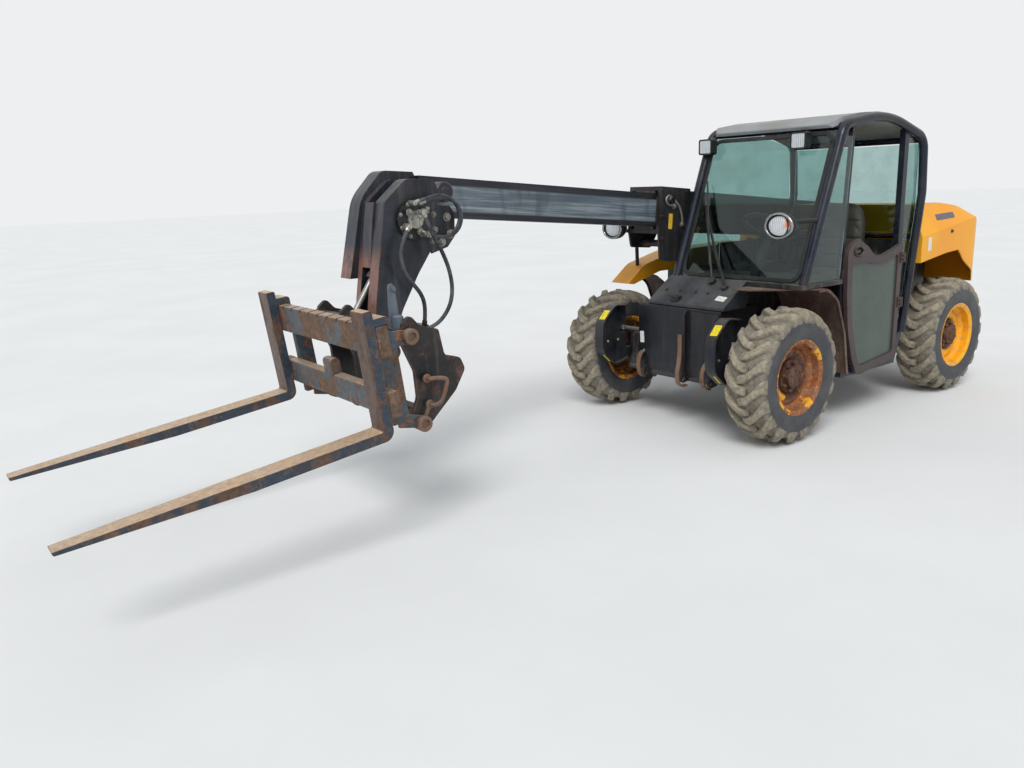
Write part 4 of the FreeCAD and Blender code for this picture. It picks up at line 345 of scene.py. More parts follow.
dress(enamel("bonnet_yellow", (0.96, 0.67, 0.13), (0.95, 0.62, 0.12), rust_edge=0.5, rust_spots=0.05,
             dust=0.10, streaks=0.05, gloss=0.36, rust=(0.35, 0.22, 0.14)), "rear_bonnet",
      "right_rear_wing", "side_pod_hood")
dress(enamel("cab_blue_black", (0.06, 0.075, 0.13), (0.10, 0.125, 0.19), rust_edge=0.6, rust_spots=0.05,
             dust=0.16, streaks=0.06, gloss=0.24, rust=(0.40, 0.27, 0.22)), "cab_frame")
dress(enamel("deck_grey_black", (0.16, 0.18, 0.215), (0.20, 0.225, 0.26), rust_edge=0.5, rust_spots=0.06,
             dust=0.20, streaks=0.05, gloss=0.36, rust=(0.40, 0.27, 0.22)), "cowl_deck")
dress(enamel("chassis_black", (0.08, 0.085, 0.10), (0.12, 0.125, 0.14), rust_edge=0.6, rust_spots=0.25,
             dust=0.4, mud=0.6, mud_height=0.60, gloss=0.46), "chassis_rails", "front_axle_beam",
      "rear_axle_beam", "side_pod_case", "boom_tower", "rear_panel", "cab_floor_pan", "cab_lower_walls",
      "engine_block")
dress(enamel("front_box_black", (0.085, 0.10, 0.125), (0.125, 0.14, 0.165), rust_edge=0.6,
             rust_spots=0.08, dust=0.22, mud=0.35, mud_height=0.42, streaks=0.10, gloss=0.30,
             dust_tone=(0.40, 0.38, 0.36)), "front_box")
dress(enamel("guard_black", (0.08, 0.095, 0.125), (0.12, 0.14, 0.175), rust_edge=0.6, rust_spots=0.10,
             dust=0.25, mud=0.35, mud_height=0.42, streaks=0.08, gloss=0.32), "front_left_knuckle",
      "front_right_knuckle", "rear_left_knuckle", "rear_right_knuckle")
dress(enamel("mudguard_rust", (0.30, 0.22, 0.20), (0.36, 0.24, 0.20), rust_edge=0.9, rust_spots=0.8, dust=0.5,
             mud=0.3, mud_height=0.7, gloss=0.6, rust=(0.42, 0.26, 0.21)), "front_mudguards")
dress(enamel("roof_grey", (0.60, 0.62, 0.64), (0.52, 0.53, 0.54), rust_edge=0.5, rust_spots=0.12, dust=0.45,
             gloss=0.4), "cab_roof")
dress(enamel("outer_boom_black", (0.075, 0.08, 0.095), (0.125, 0.13, 0.145), rust_edge=0.8,
             rust_spots=0.22, dust=0.35, streaks=0.18, gloss=0.38, dust_tone=(0.46, 0.44, 0.41)),
      "outer_boom")
dress(enamel("nose_grey", (0.085, 0.10, 0.13), (0.17, 0.19, 0.23), rust_edge=0.8, rust_spots=0.14, dust=0.22,
             streaks=0.16, gloss=0.34, rust=(0.50, 0.34, 0.30), rubbed=(0.52, 0.38, 0.34)), "boom_nose")
dress(enamel("carriage_dirty_black", (0.10, 0.10, 0.115), (0.16, 0.15, 0.155), rust_edge=0.9, rust_spots=0.75,
             dust=0.2, mud=0.15, mud_height=0.75, streaks=0.12, gloss=0.42, rust=(0.56, 0.39, 0.34)),
      "carriage_frame")


def scraped_steel(name, blue, brown, bright, brown_share, front_share, tan_top):
    """Old blue-grey paint worn through to brown scale in long patches and to orange rust in small ones;
    faces that look forward are rubbed brown, and those that look up low down carry pale dried earth."""
    material, tree, shader, where = surface(name)
    own_normal = tree.nodes.new("ShaderNodeTexCoord").outputs["Normal"]
    worn = patches(tree, where, 8.0, 0.60 - brown_share * 0.4, 0.70 - brown_share * 0.4,
                   stretch=(1.0, 1.0, 0.55), detail=9.0, rough=0.7)
    grain = patches(tree, where, 48.0, 0.34, 0.68, detail=9.0, rough=0.72)
    scale_tone = over(tree, grain, tone(*(0.72 * part for part in brown)), tone(*brown))
    paint = over(tree, grain, tone(*(0.80 * part for part in blue)), tone(*blue))
    front = ramp(tree, component(tree, own_normal, "X"), 0.5, 0.8)
    browned = sums(tree, "MAXIMUM", worn, times(tree, front, front_share))
    colour = over(tree, browned, paint, scale_tone)
    spots = patches(tree, where, 19.0, 0.55, 0.63, detail=9.0, rough=0.75)
    colour = over(tree, times(tree, spots, 0.85), colour, tone(*bright))
    upward_facing = ramp(tree, component(tree, own_normal, "Z"), 0.6, 0.9)
    earth = times(tree, upward_facing, spread_to(tree, grain, 0.62, 1.0))
    colour = over(tree, times(tree, earth, tan_top), colour, tone(0.82, 0.70, 0.57))
    chips = times(tree, worn_edges(tree, 0.006), patches(tree, where, 23.0, 0.32, 0.5, detail=7.0))
    colour = over(tree, chips, colour, tone(0.40, 0.29, 0.22))
    feed(tree, colour, shader.inputs["Base Color"])
    feed(tree, spread_to(tree, worn, 0.42, 0.72), shader.inputs["Roughness"])
    shader.inputs["Metallic"].default_value = 0.15
    relief(tree, shader, sums(tree, "ADD", times(tree, spots, 0.4), grain), 0.0010, 0.5)
    return material


dress(scraped_steel("fork_frame_paint", (0.30, 0.36, 0.40), (0.46, 0.36, 0.28), (0.60, 0.38, 0.26), 0.37,
                    0.22, 0.6), "fork_frame")
dress(scraped_steel("fork_steel", (0.22, 0.27, 0.32), (0.42, 0.33, 0.28), (0.44, 0.34, 0.28), 0.33, 0.9,
                    0.95), "forks")
dress(enamel("handle_rust", (0.44, 0.31, 0.27), (0.34, 0.24, 0.21), rust_spots=0.7, dust=0.3, gloss=0.6,
             rust=(0.46, 0.30, 0.24)), "locking_handle")
dress(enamel("door_rusty", (0.29, 0.235, 0.235), (0.23, 0.205, 0.22), rust_edge=0.8, rust_spots=0.5,
             dust=0.12, streaks=0.06, gloss=0.42, rust=(0.38, 0.26, 0.22)), "door_frame")
dress(enamel("door_panel_olive", (0.29, 0.335, 0.30), (0.25, 0.29, 0.27), rust_edge=0.2, rust_spots=0.04,
             dust=0.15, mud=0.25, mud_height=0.45, streaks=0.10, gloss=0.26,
             dust_tone=(0.45, 0.46, 0.41)), "door_panel")
dress(enamel("plated_steel", (0.62, 0.62, 0.60), (0.50, 0.50, 0.49), rust_edge=0.2, rust_spots=0.25, dust=0.3,
             gloss=0.30, metal=0.7), "front_steering_rod", "rear_steering_rod",
      "lift_cylinder_rod", "tilt_cylinder_rod")
dress(enamel("cylinder_black", (0.10, 0.105, 0.12), (0.16, 0.165, 0.18), rust_edge=0.6, rust_spots=0.3,
             dust=0.5, gloss=0.42), "lift_cylinder_barrel", "tilt_cylinder_barrel")
dress(enamel("wear_pad_nylon", (0.16, 0.15, 0.14), (0.24, 0.22, 0.20), dust=0.4, gloss=0.6), "boom_wear_pads")
dress(enamel("cab_plastic", (0.10, 0.105, 0.115), (0.14, 0.145, 0.155), dust=0.2, streaks=0.03, gloss=0.5),
      "steering_column", "console", "seat_mount", "wiper", "lamps")


# Hose coupling: a round steel flange painted black and screwed to the nose, with zinc-plated nipples that
# stand out from its face, and the black bulkhead bracket lower down where the long hoses end.
FLANGE_FACE = -0.120


def coupling_finish():
    """Black paint up to the flange's face and on the low bracket, zinc plating on what stands out from
    the face."""
    material, tree, shader, where = surface("coupling_finish")
    beyond = ramp(tree, component(tree, where, "Y"), FLANGE_FACE + 0.0005, FLANGE_FACE + 0.0015)
    plated = times(tree, beyond, ramp(tree, component(tree, where, "Z"), 0.900, 0.901))
    grime = patches(tree, where, 60.0, 0.45, 0.7, detail=7.0)
    zinc = over(tree, grime, tone(0.66, 0.66, 0.62), tone(0.40, 0.38, 0.34))
    black = over(tree, grime, tone(0.08, 0.09, 0.11), tone(0.20, 0.19, 0.18))
    feed(tree, over(tree, plated, black, zinc), shader.inputs["Base Color"])
    feed(tree, spread_to(tree, grime, 0.32, 0.6), shader.inputs["Roughness"])
    feed(tree, times(tree, plated, 0.6), shader.inputs["Metallic"])
    relief(tree, shader, grime, 0.0005)
    return material


dress(coupling_finish(), "hose_fittings")


# Inner boom: a rectangular box section, welded along its corners. Its black top and bottom edges are greased;
# the side is rubbed bright by the wear pads into long grey-blue streaks.
def rubbed_boom():
    """Streaks along the boom's own line on the sides, darker towards the top and bottom edges."""
    material, tree, shader, where = surface("rubbed_boom")
    turned = tree.nodes.new("ShaderNodeMapping")
    turned.inputs["Rotation"].default_value = (0.0, math.radians(4.9), 0.0)
    tree.links.new(where, turned.inputs["Vector"])
    along = turned.outputs["Vector"]
    streak = patches(tree, along, 34.0, 0.36, 0.68, stretch=(0.035, 1.0, 1.0), detail=7.0, rough=0.7)
    fine = patches(tree, along, 150.0, 0.38, 0.66, stretch=(0.02, 1.0, 1.0), detail=3.0)
    colour = over(tree, streak, tone(0.33, 0.37, 0.41), tone(0.56, 0.60, 0.62))
    colour = over(tree, times(tree, fine, 0.5), colour, tone(0.24, 0.27, 0.31))
    drips = patches(tree, where, 12.0, 0.50, 0.66, stretch=(1.0, 1.0, 0.25), detail=6.0)
    colour = over(tree, times(tree, drips, 0.45), colour, tone(0.20, 0.22, 0.25))
    level_up = component(tree, along, "Z")
    edges = sums(tree, "MAXIMUM", ramp(tree, level_up, 1.384, 1.392), ramp(tree, level_up, 1.262, 1.254))
    colour = over(tree, edges, colour, over(tree, fine, tone(0.09, 0.095, 0.12), tone(0.17, 0.18, 0.21)))
    feed(tree, colour, shader.inputs["Base Color"])
    feed(tree, spread_to(tree, streak, 0.36, 0.62), shader.inputs["Roughness"])
    relief(tree, shader, fine, 0.0004)
    return material


dress(rubbed_boom(), "inner_boom")


# Cab glazing: tinted safety glass set in rubber, with a film of dust in patches. The seat and the
# steering wheel show behind it.
def tinted_glass():
    """Clear green-blue glass whose gloss is broken by a thin film of dust."""
    material, tree, shader, where = surface("tinted_glass")
    film = patches(tree, where, 5.0, 0.4, 0.75, detail=6.0)
    colour = over(tree, film, tone(0.69, 0.80, 0.785), tone(0.64, 0.74, 0.725))
    feed(tree, colour, shader.inputs["Base Color"])
    shader.inputs["Transmission Weight"].default_value = 1.0
    shader.inputs["IOR"].default_value = 1.45
    shader.inputs["Roughness"].default_value = 0.02
    return material


dress(tinted_glass(), "windscreen", "cab_glass")


# Wheels: pressed steel rims with welded-in discs. The front ones have lost nearly all their paint, the
# rear ones are still yellow with rust creeping in from the lip and the bolts.
FRONT_AXLE_X, REAR_AXLE_X = -0.6224, -2.3924
WHEEL_RADIUS, HALF_TRACK = 0.38, 0.648
WHEELS = (("front_left", FRONT_AXLE_X, 1), ("front_right", FRONT_AXLE_X, -1),
          ("rear_left", REAR_AXLE_X, 1), ("rear_right", REAR_AXLE_X, -1))


def rim_finish(name, axle_x, paint_left):
    """Rust, brighter on the sloping dish, with flakes of yellow paint left between two radii."""
    material, tree, shader, where = surface(name)
    centred = tree.nodes.new("ShaderNodeMapping")
    centred.inputs["Location"].default_value = (-axle_x, 0.0, -WHEEL_RADIUS)
    centred.inputs["Scale"].default_value = (1.0, 0.0, 1.0)
    tree.links.new(where, centred.inputs["Vector"])
    size = tree.nodes.new("ShaderNodeVectorMath")
    size.operation = "LENGTH"
    tree.links.new(centred.outputs["Vector"], size.inputs[0])
    grain = patches(tree, where, 55.0, 0.34, 0.68, detail=9.0, rough=0.72)
    brown = over(tree, grain, tone(0.20, 0.12, 0.10), tone(0.40, 0.24, 0.18))
    orange = over(tree, grain, tone(0.44, 0.25, 0.15), tone(0.66, 0.42, 0.24))
    colour = over(tree, ramp(tree, size.outputs["Value"], 0.128, 0.150), brown, orange)
    low, high = 0.60 - 0.34 * paint_left, 0.64 - 0.30 * paint_left
    flakes = patches(tree, where, 9.0, low, high, detail=9.0, rough=0.68)
    keep = times(tree, flakes, ramp(tree, size.outputs["Value"], 0.100, 0.118))
    yellow = over(tree, patches(tree, where, 30.0, 0.4, 0.75), tone(0.97, 0.68, 0.06), tone(0.86, 0.56, 0.10))
    colour = over(tree, keep, colour, yellow)
    dust = times(tree, patches(tree, where, 14.0, 0.42, 0.7, detail=7.0), 0.35)
    colour = over(tree, dust, colour, tone(0.55, 0.50, 0.43))
    feed(tree, colour, shader.inputs["Base Color"])
    feed(tree, spread_to(tree, keep, 0.78, 0.42), shader.inputs["Roughness"])
    relief(tree, shader, sums(tree, "ADD", keep, times(tree, grain, 0.6)), 0.0014, 0.6)
    return material


dress(rim_finish("front_rim_rust", FRONT_AXLE_X, 0.25), "front_left_rim", "front_right_rim")
dress(rim_finish("rear_rim_yellow", REAR_AXLE_X, 0.95), "rear_left_rim", "rear_right_rim")


# Tyres: 10.0/75-15.3 implement pattern. Slanting bars on the left and right of the tread meet in a chevron
# and run on down the shoulders; they are worn round and caked in pale dried mud.
def ring_point(spin, lateral, radius, axle_x, mid_y):
    """Point of a wheel: axle centre plus the radius turned by spin about the axle line, and an offset
    along it."""
    spin, lateral, radius = np.broadcast_arrays(spin, lateral, radius)
    return np.stack([axle_x + radius * np.cos(spin), mid_y + lateral, WHEEL_RADIUS + radius * np.sin(spin)],
                    axis=-1)


def section(angle, half_width, half_height, power):
    """Tyre cross-section: a squared ellipse, cosine and sine each raised to 2 over power, about radius
    0.281."""
    side, rise = np.cos(angle), np.sin(angle)
    lateral = half_width * np.sign(side) * np.abs(side) ** (2.0 / power)
    radius = 0.281 + half_height * np.sign(rise) * np.abs(rise) ** (2.0 / power)
    return lateral, radius


def grid_faces(rows, columns, offset, close_rows=False, close_columns=False):
    """Quads between neighbouring points of a grid laid out row by row."""
    i = np.arange(rows if close_rows else rows - 1)
    j = np.arange(columns if close_columns else columns - 1)
    i, j = np.meshgrid(i, j, indexing="ij")
    a, b = i * columns + j, i * columns + (j + 1) % columns
    c, d = ((i + 1) % rows) * columns + (j + 1) % columns, ((i + 1) % rows) * columns + j
    return np.stack([a, b, c, d], axis=-1).reshape(-1, 4) + offset


def mesh_of(name, points, quads, marks=None):
    """Mesh from arrays of points and quads, with an optional value at each point called mud."""
    mesh = bpy.data.meshes.new(name)
    mesh.vertices.add(len(points))
    mesh.vertices.foreach_set("co", np.asarray(points, dtype=np.float32).ravel())
    mesh.loops.add(quads.size)
    mesh.loops.foreach_set("vertex_index", quads.astype(np.int32).ravel())
    mesh.polygons.add(len(quads))
    mesh.polygons.foreach_set("loop_start", np.arange(0, quads.size, 4, dtype=np.int32))
    mesh.update(calc_edges=True)
    if marks is not None:
        mesh.attributes.new("mud", "FLOAT", "POINT").data.foreach_set("value", marks.astype(np.float32))
    mesh.polygons.foreach_set("use_smooth", np.ones(len(quads), dtype=bool))
    mesh.validate()
    return mesh


def tyre_rubber():
    """Blue-grey rubber with mud by height: caked on the bars, thin on the casing, a little on the side
    wall."""
    material, tree, shader, where = surface("tyre_rubber")
    mark = tree.nodes.new("ShaderNodeAttribute")
    mark.attribute_name = "mud"
    height = mark.outputs["Fac"]
    clods = patches(tree, where, 24.0, 0.30, 0.62, detail=9.0, rough=0.75)
    wall = over(tree, patches(tree, where, 8.0, 0.35, 0.7), tone(0.17, 0.185, 0.215), tone(0.27, 0.28, 0.30))
    dried = over(tree, patches(tree, where, 46.0, 0.3, 0.7, detail=8.0), tone(0.51, 0.475, 0.405),
                 tone(0.66, 0.62, 0.54))
    cover = times(tree, height, spread_to(tree, clods, 0.62, 1.12))
    colour = over(tree, cover, wall, dried)
    feed(tree, colour, shader.inputs["Base Color"])
    feed(tree, spread_to(tree, cover, 0.55, 0.92), shader.inputs["Roughness"])
    relief(tree, shader, patches(tree, where, 90.0, 0.25, 0.75, detail=9.0, rough=0.7), 0.0018, 0.45)
    return material


BARS = 18
CASING_RINGS, CASING_ROUND = 44, 168
BAR_STEPS, BAR_WIDTH = 26, 10


def casing(axle_x, mid_y):
    """The cross-section turned about the axle, nowhere smaller than the rim's seat at radius 0.199. Its
    mud grows with the radius, by 1 in 0.045 from 0.300 on, and is held between 0.06 and 0.62."""
    spin = np.linspace(0.0, 2 * np.pi, CASING_ROUND, endpoint=False)[:, None]
    angle = np.linspace(0.0, 2 * np.pi, CASING_RINGS, endpoint=False)[None, :]
    lateral, radius = section(angle, 0.1300, np.where(angle > np.pi, 0.1100, 0.0690), 3.3)
    radius = np.maximum(radius, 0.199)
    mud = np.broadcast_to(np.clip((radius - 0.300) / 0.045, 0.06, 0.62), (CASING_ROUND, CASING_RINGS))
    return ring_point(spin, lateral, radius, axle_x, mid_y).reshape(-1, 3), mud.ravel()


def tread_bar(dice, number, bar_side, axle_x, mid_y):
    """One bar. With t from 0 at the middle of the tread to 1 low on the shoulder, the angle in the
    cross-section is 96 - 90 t^0.92 degrees and the bar swings round by 1 - (1 - t)^1.7 of its reach,
    which is done at 0.72. Across it ten points climb from the casing to the worn top and go down again;
    its ends slope and its width waves."""
    along = np.linspace(0.0, 1.0, BAR_STEPS)[:, None]
    profile_w = np.array([-1.0, -0.93, -0.86, -0.74, -0.35, 0.35, 0.74, 0.86, 0.93, 1.0])[None, :]
    profile_h = np.array([0.0, 0.55, 0.91, 1.0, 1.0, 1.0, 1.0, 0.91, 0.55, 0.0])[None, :]
    start = 2 * np.pi * (number + (0.5 if bar_side < 0 else 0.0)) / BARS - np.pi / 2 - 0.12
    reach = 0.29 + dice.uniform(-0.012, 0.012)
    sweep = reach * (1.0 - (1.0 - np.clip(along / 0.72, 0, 1)) ** 1.7)
    angle_at = np.radians(96.0 - 90.0 * along ** 0.92)
    low_lat, low_rad = section(angle_at, 0.1290, 0.0670, 3.3)
    top_lat, top_rad = section(angle_at, 0.1315, 0.0990, 3.4)
    half = (0.019 + 0.013 * along) * (1.0 + 0.06 * np.sin(9 * along + dice.uniform(0, 6)))
    rise = np.minimum(1.0, (along + 0.012) / 0.07) * (1.0 - 0.10 * dice.random())
    rise = rise * np.minimum(1.0, (1.02 - along) / 0.10)
    height = profile_h * (0.10 + 0.90 * rise)
    lateral = bar_side * (low_lat + (top_lat - low_lat) * height)
    radius = low_rad + (top_rad - low_rad) * height
    turn_by = start + sweep + profile_w * half * (1.18 - 0.24 * profile_h) / radius * 1.25
    mud = np.broadcast_to(0.55 + 0.45 * height * np.clip(1.35 - along, 0.4, 1), (BAR_STEPS, BAR_WIDTH))
    return ring_point(turn_by, lateral, radius, axle_x, mid_y).reshape(-1, 3), mud.ravel()


muddy_rubber = tyre_rubber()
ring_quads = grid_faces(CASING_ROUND, CASING_RINGS, 0, True, True)[:, ::-1]
end_quads = np.array([[0, 9, 8, 1], [1, 8, 7, 2], [2, 7, 6, 3], [3, 6, 5, 4]])
bar_quads = np.concatenate([grid_faces(BAR_STEPS, BAR_WIDTH, 0), end_quads[:, ::-1],
                            end_quads + (BAR_STEPS - 1) * BAR_WIDTH])
for corner, axle_x, side in WHEELS:
    dice = np.random.default_rng(11 + len(corner) + side)
    points, marks = casing(axle_x, side * HALF_TRACK)
    points, marks, quads, count = [points], [marks], [ring_quads], len(points)
    for bar_side in (1, -1):
        for number in range(BARS):
            bar, bar_mud = tread_bar(dice, number, bar_side, axle_x, side * HALF_TRACK)
            points.append(bar)
            marks.append(bar_mud)
            quads.append(count + (bar_quads if bar_side > 0 else bar_quads[:, ::-1]))
            count += len(bar)
    tyre_mesh = mesh_of(corner + "_lugged_tyre", np.concatenate(points), np.concatenate(quads),
                        np.concatenate(marks))
    tyre_mesh.materials.append(muddy_rubber)
    tyre = stand(corner + "_lugged_tyre", tyre_mesh, corner + "_wheel")
    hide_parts(corner + "_tyre")


# Driver's seat: a sprung bucket seat of foam under dark olive-grey vinyl. The cushion is crowned and
# rolls over at the front; the back has a rounded top and is sewn across into three channels.
def seat_vinyl():
    """Fine leather grain, dusty and slightly shiny where it is sat on."""
    material, tree, shader, where = surface("seat_vinyl")
    grain = patches(tree, where, 260.0, 0.35, 0.65, detail=4.0)
    worn = patches(tree, where, 6.0, 0.4, 0.7)
    colour = over(tree, worn, tone(0.23, 0.23, 0.20), tone(0.33, 0.32, 0.28))
    feed(tree, over(tree, times(tree, grain, 0.35), colour, tone(0.38, 0.37, 0.33)),
         shader.inputs["Base Color"])
    feed(tree, spread_to(tree, worn, 0.5, 0.72), shader.inputs["Roughness"])
    relief(tree, shader, grain, 0.0005)
    return material


def pad_form(width, height, depth, top_round):
    """Closed pad: a box with sides drawn in between its corners and a crowned face. A point of the unit
    sphere is squared by dividing by the fifth-power norm; top_round narrows it upwards by its height to
    the power 2.2."""
    spin = np.linspace(0.0, 2 * np.pi, 64, endpoint=False)[:, None]
    rise = np.linspace(-np.pi / 2, np.pi / 2, 41)[None, :]
    ball = np.stack(np.broadcast_arrays(np.cos(rise) * np.cos(spin), np.cos(rise) * np.sin(spin),
                                        np.sin(rise)), axis=-1)
    norm = (np.abs(ball) ** 5.0).sum(axis=-1, keepdims=True) ** (1.0 / 5.0)
    form = ball / norm
    up = np.clip(form[..., 2], 0.0, 1.0)
    form[..., 1] *= 1.0 - top_round * up ** 2.2
    form[..., 0] *= 1.0 - 0.10 * (form[..., 1] ** 2 + form[..., 2] ** 2) / 2.0
    points = form.reshape(-1, 3) * np.array([depth, width, height]) / 2.0
    return points, grid_faces(64, 41, 0, close_rows=True)


def swell(piece, limit):
    """Blow the pad up from inside as cloth with pressure, then let no point move farther than the limit."""
    remesh = piece.modifiers.new("voxels", "REMESH")
    remesh.mode = "VOXEL"
    remesh.voxel_size = 0.006
    bpy.context.view_layer.objects.active = piece
    bpy.ops.object.modifier_apply(modifier="voxels")
    start = np.empty(len(piece.data.vertices) * 3, dtype=np.float32)
    piece.data.vertices.foreach_get("co", start)
    cloth = piece.modifiers.new("cover", "CLOTH")
    cloth.settings.use_pressure = True
    cloth.settings.uniform_pressure_force = 4.0
    cloth.settings.effector_weights.gravity = 0.0
    cloth.settings.quality = 4
    for step in range(1, 21):
        bpy.context.scene.frame_set(step)
    bpy.ops.object.modifier_apply(modifier="cover")
    bpy.context.scene.frame_set(1)
    end = np.empty_like(start)
    piece.data.vertices.foreach_get("co", end)
    start, end = start.reshape(-1, 3), end.reshape(-1, 3)
    move = end - start
    far = np.linalg.norm(move, axis=1, keepdims=True)
    end = start + move * np.minimum(1.0, limit / np.maximum(far, 1e-9))
    piece.data.vertices.foreach_set("co", end.ravel())
    piece.data.update()


SEAT_MIDDLE = 0.235
vinyl = seat_vinyl()
BASE_SEAMS, BACK_SEAMS = (-0.07, 0.08), (-0.11, 0.0, 0.11)
for pad_name, size, middle, lean, narrow, seams in (
        ("seat_base_pad", (0.415, 0.088, 0.425), (-1.5244, SEAT_MIDDLE, 0.800), 4.0, 0.0, BASE_SEAMS),
        ("seat_back_pad", (0.400, 0.460, 0.080), (-1.7604, SEAT_MIDDLE, 1.050), -7.0, 0.22, BACK_SEAMS)):
    form, pad_faces = pad_form(size[0], size[1], size[2], narrow)
    tip = math.radians(lean)
    across = form[:, 0] * math.cos(tip) + form[:, 2] * math.sin(tip)
    along_z = -form[:, 0] * math.sin(tip) + form[:, 2] * math.cos(tip)
    placed = np.stack([across + middle[0], form[:, 1] + middle[1], along_z + middle[2]], axis=-1)
    pad = stand(pad_name, mesh_of(pad_name, placed, pad_faces), "chassis")
    closing = bmesh.new()
    closing.from_mesh(pad.data)
    bmesh.ops.remove_doubles(closing, verts=closing.verts, dist=1e-5)
    bmesh.ops.recalc_face_normals(closing, faces=closing.faces)
    closing.to_mesh(pad.data)
    closing.free()
    swell(pad, 0.009)
    spots = np.empty(len(pad.data.vertices) * 3, dtype=np.float32)
    pad.data.vertices.foreach_get("co", spots)
    spots = spots.reshape(-1, 3)
    lengthways = 2 if narrow else 0
    face_way = 0 if narrow else 2
    off = spots - np.array(middle, dtype=np.float32)
    front = np.clip(off[:, face_way] / 0.03, 0.0, 1.0)
    for seam in seams:
        spots[:, face_way] -= 0.007 * front * np.exp(-((off[:, lengthways] - seam) / 0.007) ** 2)
    pad.data.vertices.foreach_set("co", spots.ravel())
    pad.data.polygons.foreach_set("use_smooth", np.ones(len(pad.data.polygons), dtype=bool))
    pad.data.update()
    rounder = pad.modifiers.new("rounder", "SUBSURF")
    rounder.levels = rounder.render_levels = 1
    pad.data.materials.append(vinyl)
    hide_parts("seat_cushion")


# Lamps: two road lamps with an oval glass in a chromed rim on a black bowl, the left one with an amber
# corner for the turn signal, two square work lamps on the roof's front edge, and the red lenses at the
# rear.
def grown(name, points, faces, body, material, smooth=False):
    """Closed small piece from points and faces of any size, riding on a body."""
    mesh = bpy.data.meshes.new(name)
    shape = bmesh.new()
    corners = [shape.verts.new(tuple(map(float, point))) for point in points]
    for face in faces:
        shape.faces.new([corners[i] for i in face])
    bmesh.ops.remove_doubles(shape, verts=shape.verts, dist=1e-6)
    bmesh.ops.recalc_face_normals(shape, faces=shape.faces)
    shape.to_mesh(mesh)
    shape.free()
    mesh.polygons.foreach_set("use_smooth", np.full(len(mesh.polygons), smooth))
    mesh.materials.append(material)
    return stand(name, mesh, body)


def rounded(width, height, radius, steps=5):
    """Outline of a rectangle with round corners, as (a, b) pairs."""
    corner = np.linspace(0.0, np.pi / 2, steps + 1)
    outline = []
    for quarter, (sa, sb) in enumerate(((1, 1), (-1, 1), (-1, -1), (1, -1))):
        turn_at = corner + quarter * np.pi / 2
        outline.append(np.stack([sa * (width / 2 - radius) + radius * np.cos(turn_at),
                                 sb * (height / 2 - radius) + radius * np.sin(turn_at)], axis=-1))
    return np.concatenate(outline)


def slab(outline, thickness, origin, across, up, soft=0.0015):
    """Plate with a softened front edge: the outline at the back, again just under the face, and drawn in
    on the face. It stands on origin, spans across and up, and grows along their cross product."""
    outline = np.asarray(outline, dtype=float)
    size = np.abs(outline).max(axis=0)
    inner = outline * (1.0 - soft / size)
    across, up = np.array(across, dtype=float), np.array(up, dtype=float)
    out = np.cross(across, up)
    rings = [np.array(origin) + ring[:, :1] * across + ring[:, 1:] * up + height * out
             for ring, height in ((outline, 0.0), (outline, thickness - soft), (inner, thickness))]
    count = len(outline)
    faces = [tuple(range(count))[::-1], tuple(range(2 * count, 3 * count))]
    for level in range(2):
        for i in range(count):
            j = (i + 1) % count
            low, high = level * count, (level + 1) * count
            faces.append((low + i, low + j, high + j, high + i))
    return np.concatenate(rings), faces


def joined(parts):
    """Several (points, faces) pairs as one pair."""
    points, faces, count = [], [], 0
    for part_points, part_faces in parts:
        points.append(part_points)
        faces.extend(tuple(i + count for i in face) for face in part_faces)
        count += len(part_points)
    return np.concatenate(points), faces


def lathe(profile, origin, axis, turns=40):
    """Surface of revolution: radius times (cosine, sine) across the axis plus height along it, for each
    (radius, height) of the profile."""
    axis = np.array(axis, dtype=float) / np.linalg.norm(axis)
    side = np.cross(axis, (0.0, 0.0, 1.0) if abs(axis[2]) < 0.9 else (1.0, 0.0, 0.0))
    side /= np.linalg.norm(side)
    other = np.cross(axis, side)
    spin = np.linspace(0.0, 2 * np.pi, turns, endpoint=False)[:, None, None]
    profile = np.asarray(profile, dtype=float)
    radius, height = profile[None, :, :1], profile[None, :, 1:]
    points = np.array(origin) + height * axis + radius * (np.cos(spin) * side + np.sin(spin) * other)
    quads = grid_faces(turns, len(profile), 0, close_rows=True)
    return points.reshape(-1, 3), [tuple(map(int, quad)) for quad in quads]


def lamp_lens(name, tint, amber=None):
    """Ribbed lens over a bright reflector; beyond the offset amber its upper part is amber."""
    material, tree, shader, where = surface(name)
    ribs = tree.nodes.new("ShaderNodeTexWave")
    ribs.wave_type = "BANDS"
    ribs.bands_direction = "Y"
    ribs.inputs["Scale"].default_value = 26.0
    tree.links.new(where, ribs.inputs["Vector"])
    colour = over(tree, ribs.outputs["Fac"], tone(*tint), tone(*(0.82 * part for part in tint)))
    if amber is not None:
        corner = times(tree, ramp(tree, component(tree, where, "Y"), amber, amber + 0.003),
                      ramp(tree, component(tree, where, "Z"), 1.192, 1.195))
        colour = over(tree, corner, colour, tone(0.93, 0.45, 0.16))
    dusty = patches(tree, where, 30.0, 0.45, 0.75)
    feed(tree, over(tree, times(tree, dusty, 0.3), colour, tone(0.55, 0.54, 0.50)),
         shader.inputs["Base Color"])
    shader.inputs["Roughness"].default_value = 0.12
    shader.inputs["Coat Weight"].default_value = 0.6
    relief(tree, shader, ribs.outputs["Fac"], 0.0008, 0.7)
    return material


def finish_of(node_name):
    """The finish that a CAD node already wears."""
    return cad[node_name].material_slots[0].material


def widened(shape, middle_y, share):
    """The same shape stretched across the machine: y' = middle + share (y - middle)."""
    points, faces = shape
    points = np.array(points)
    points[:, 1] = middle_y + share * (points[:, 1] - middle_y)
    return points, faces


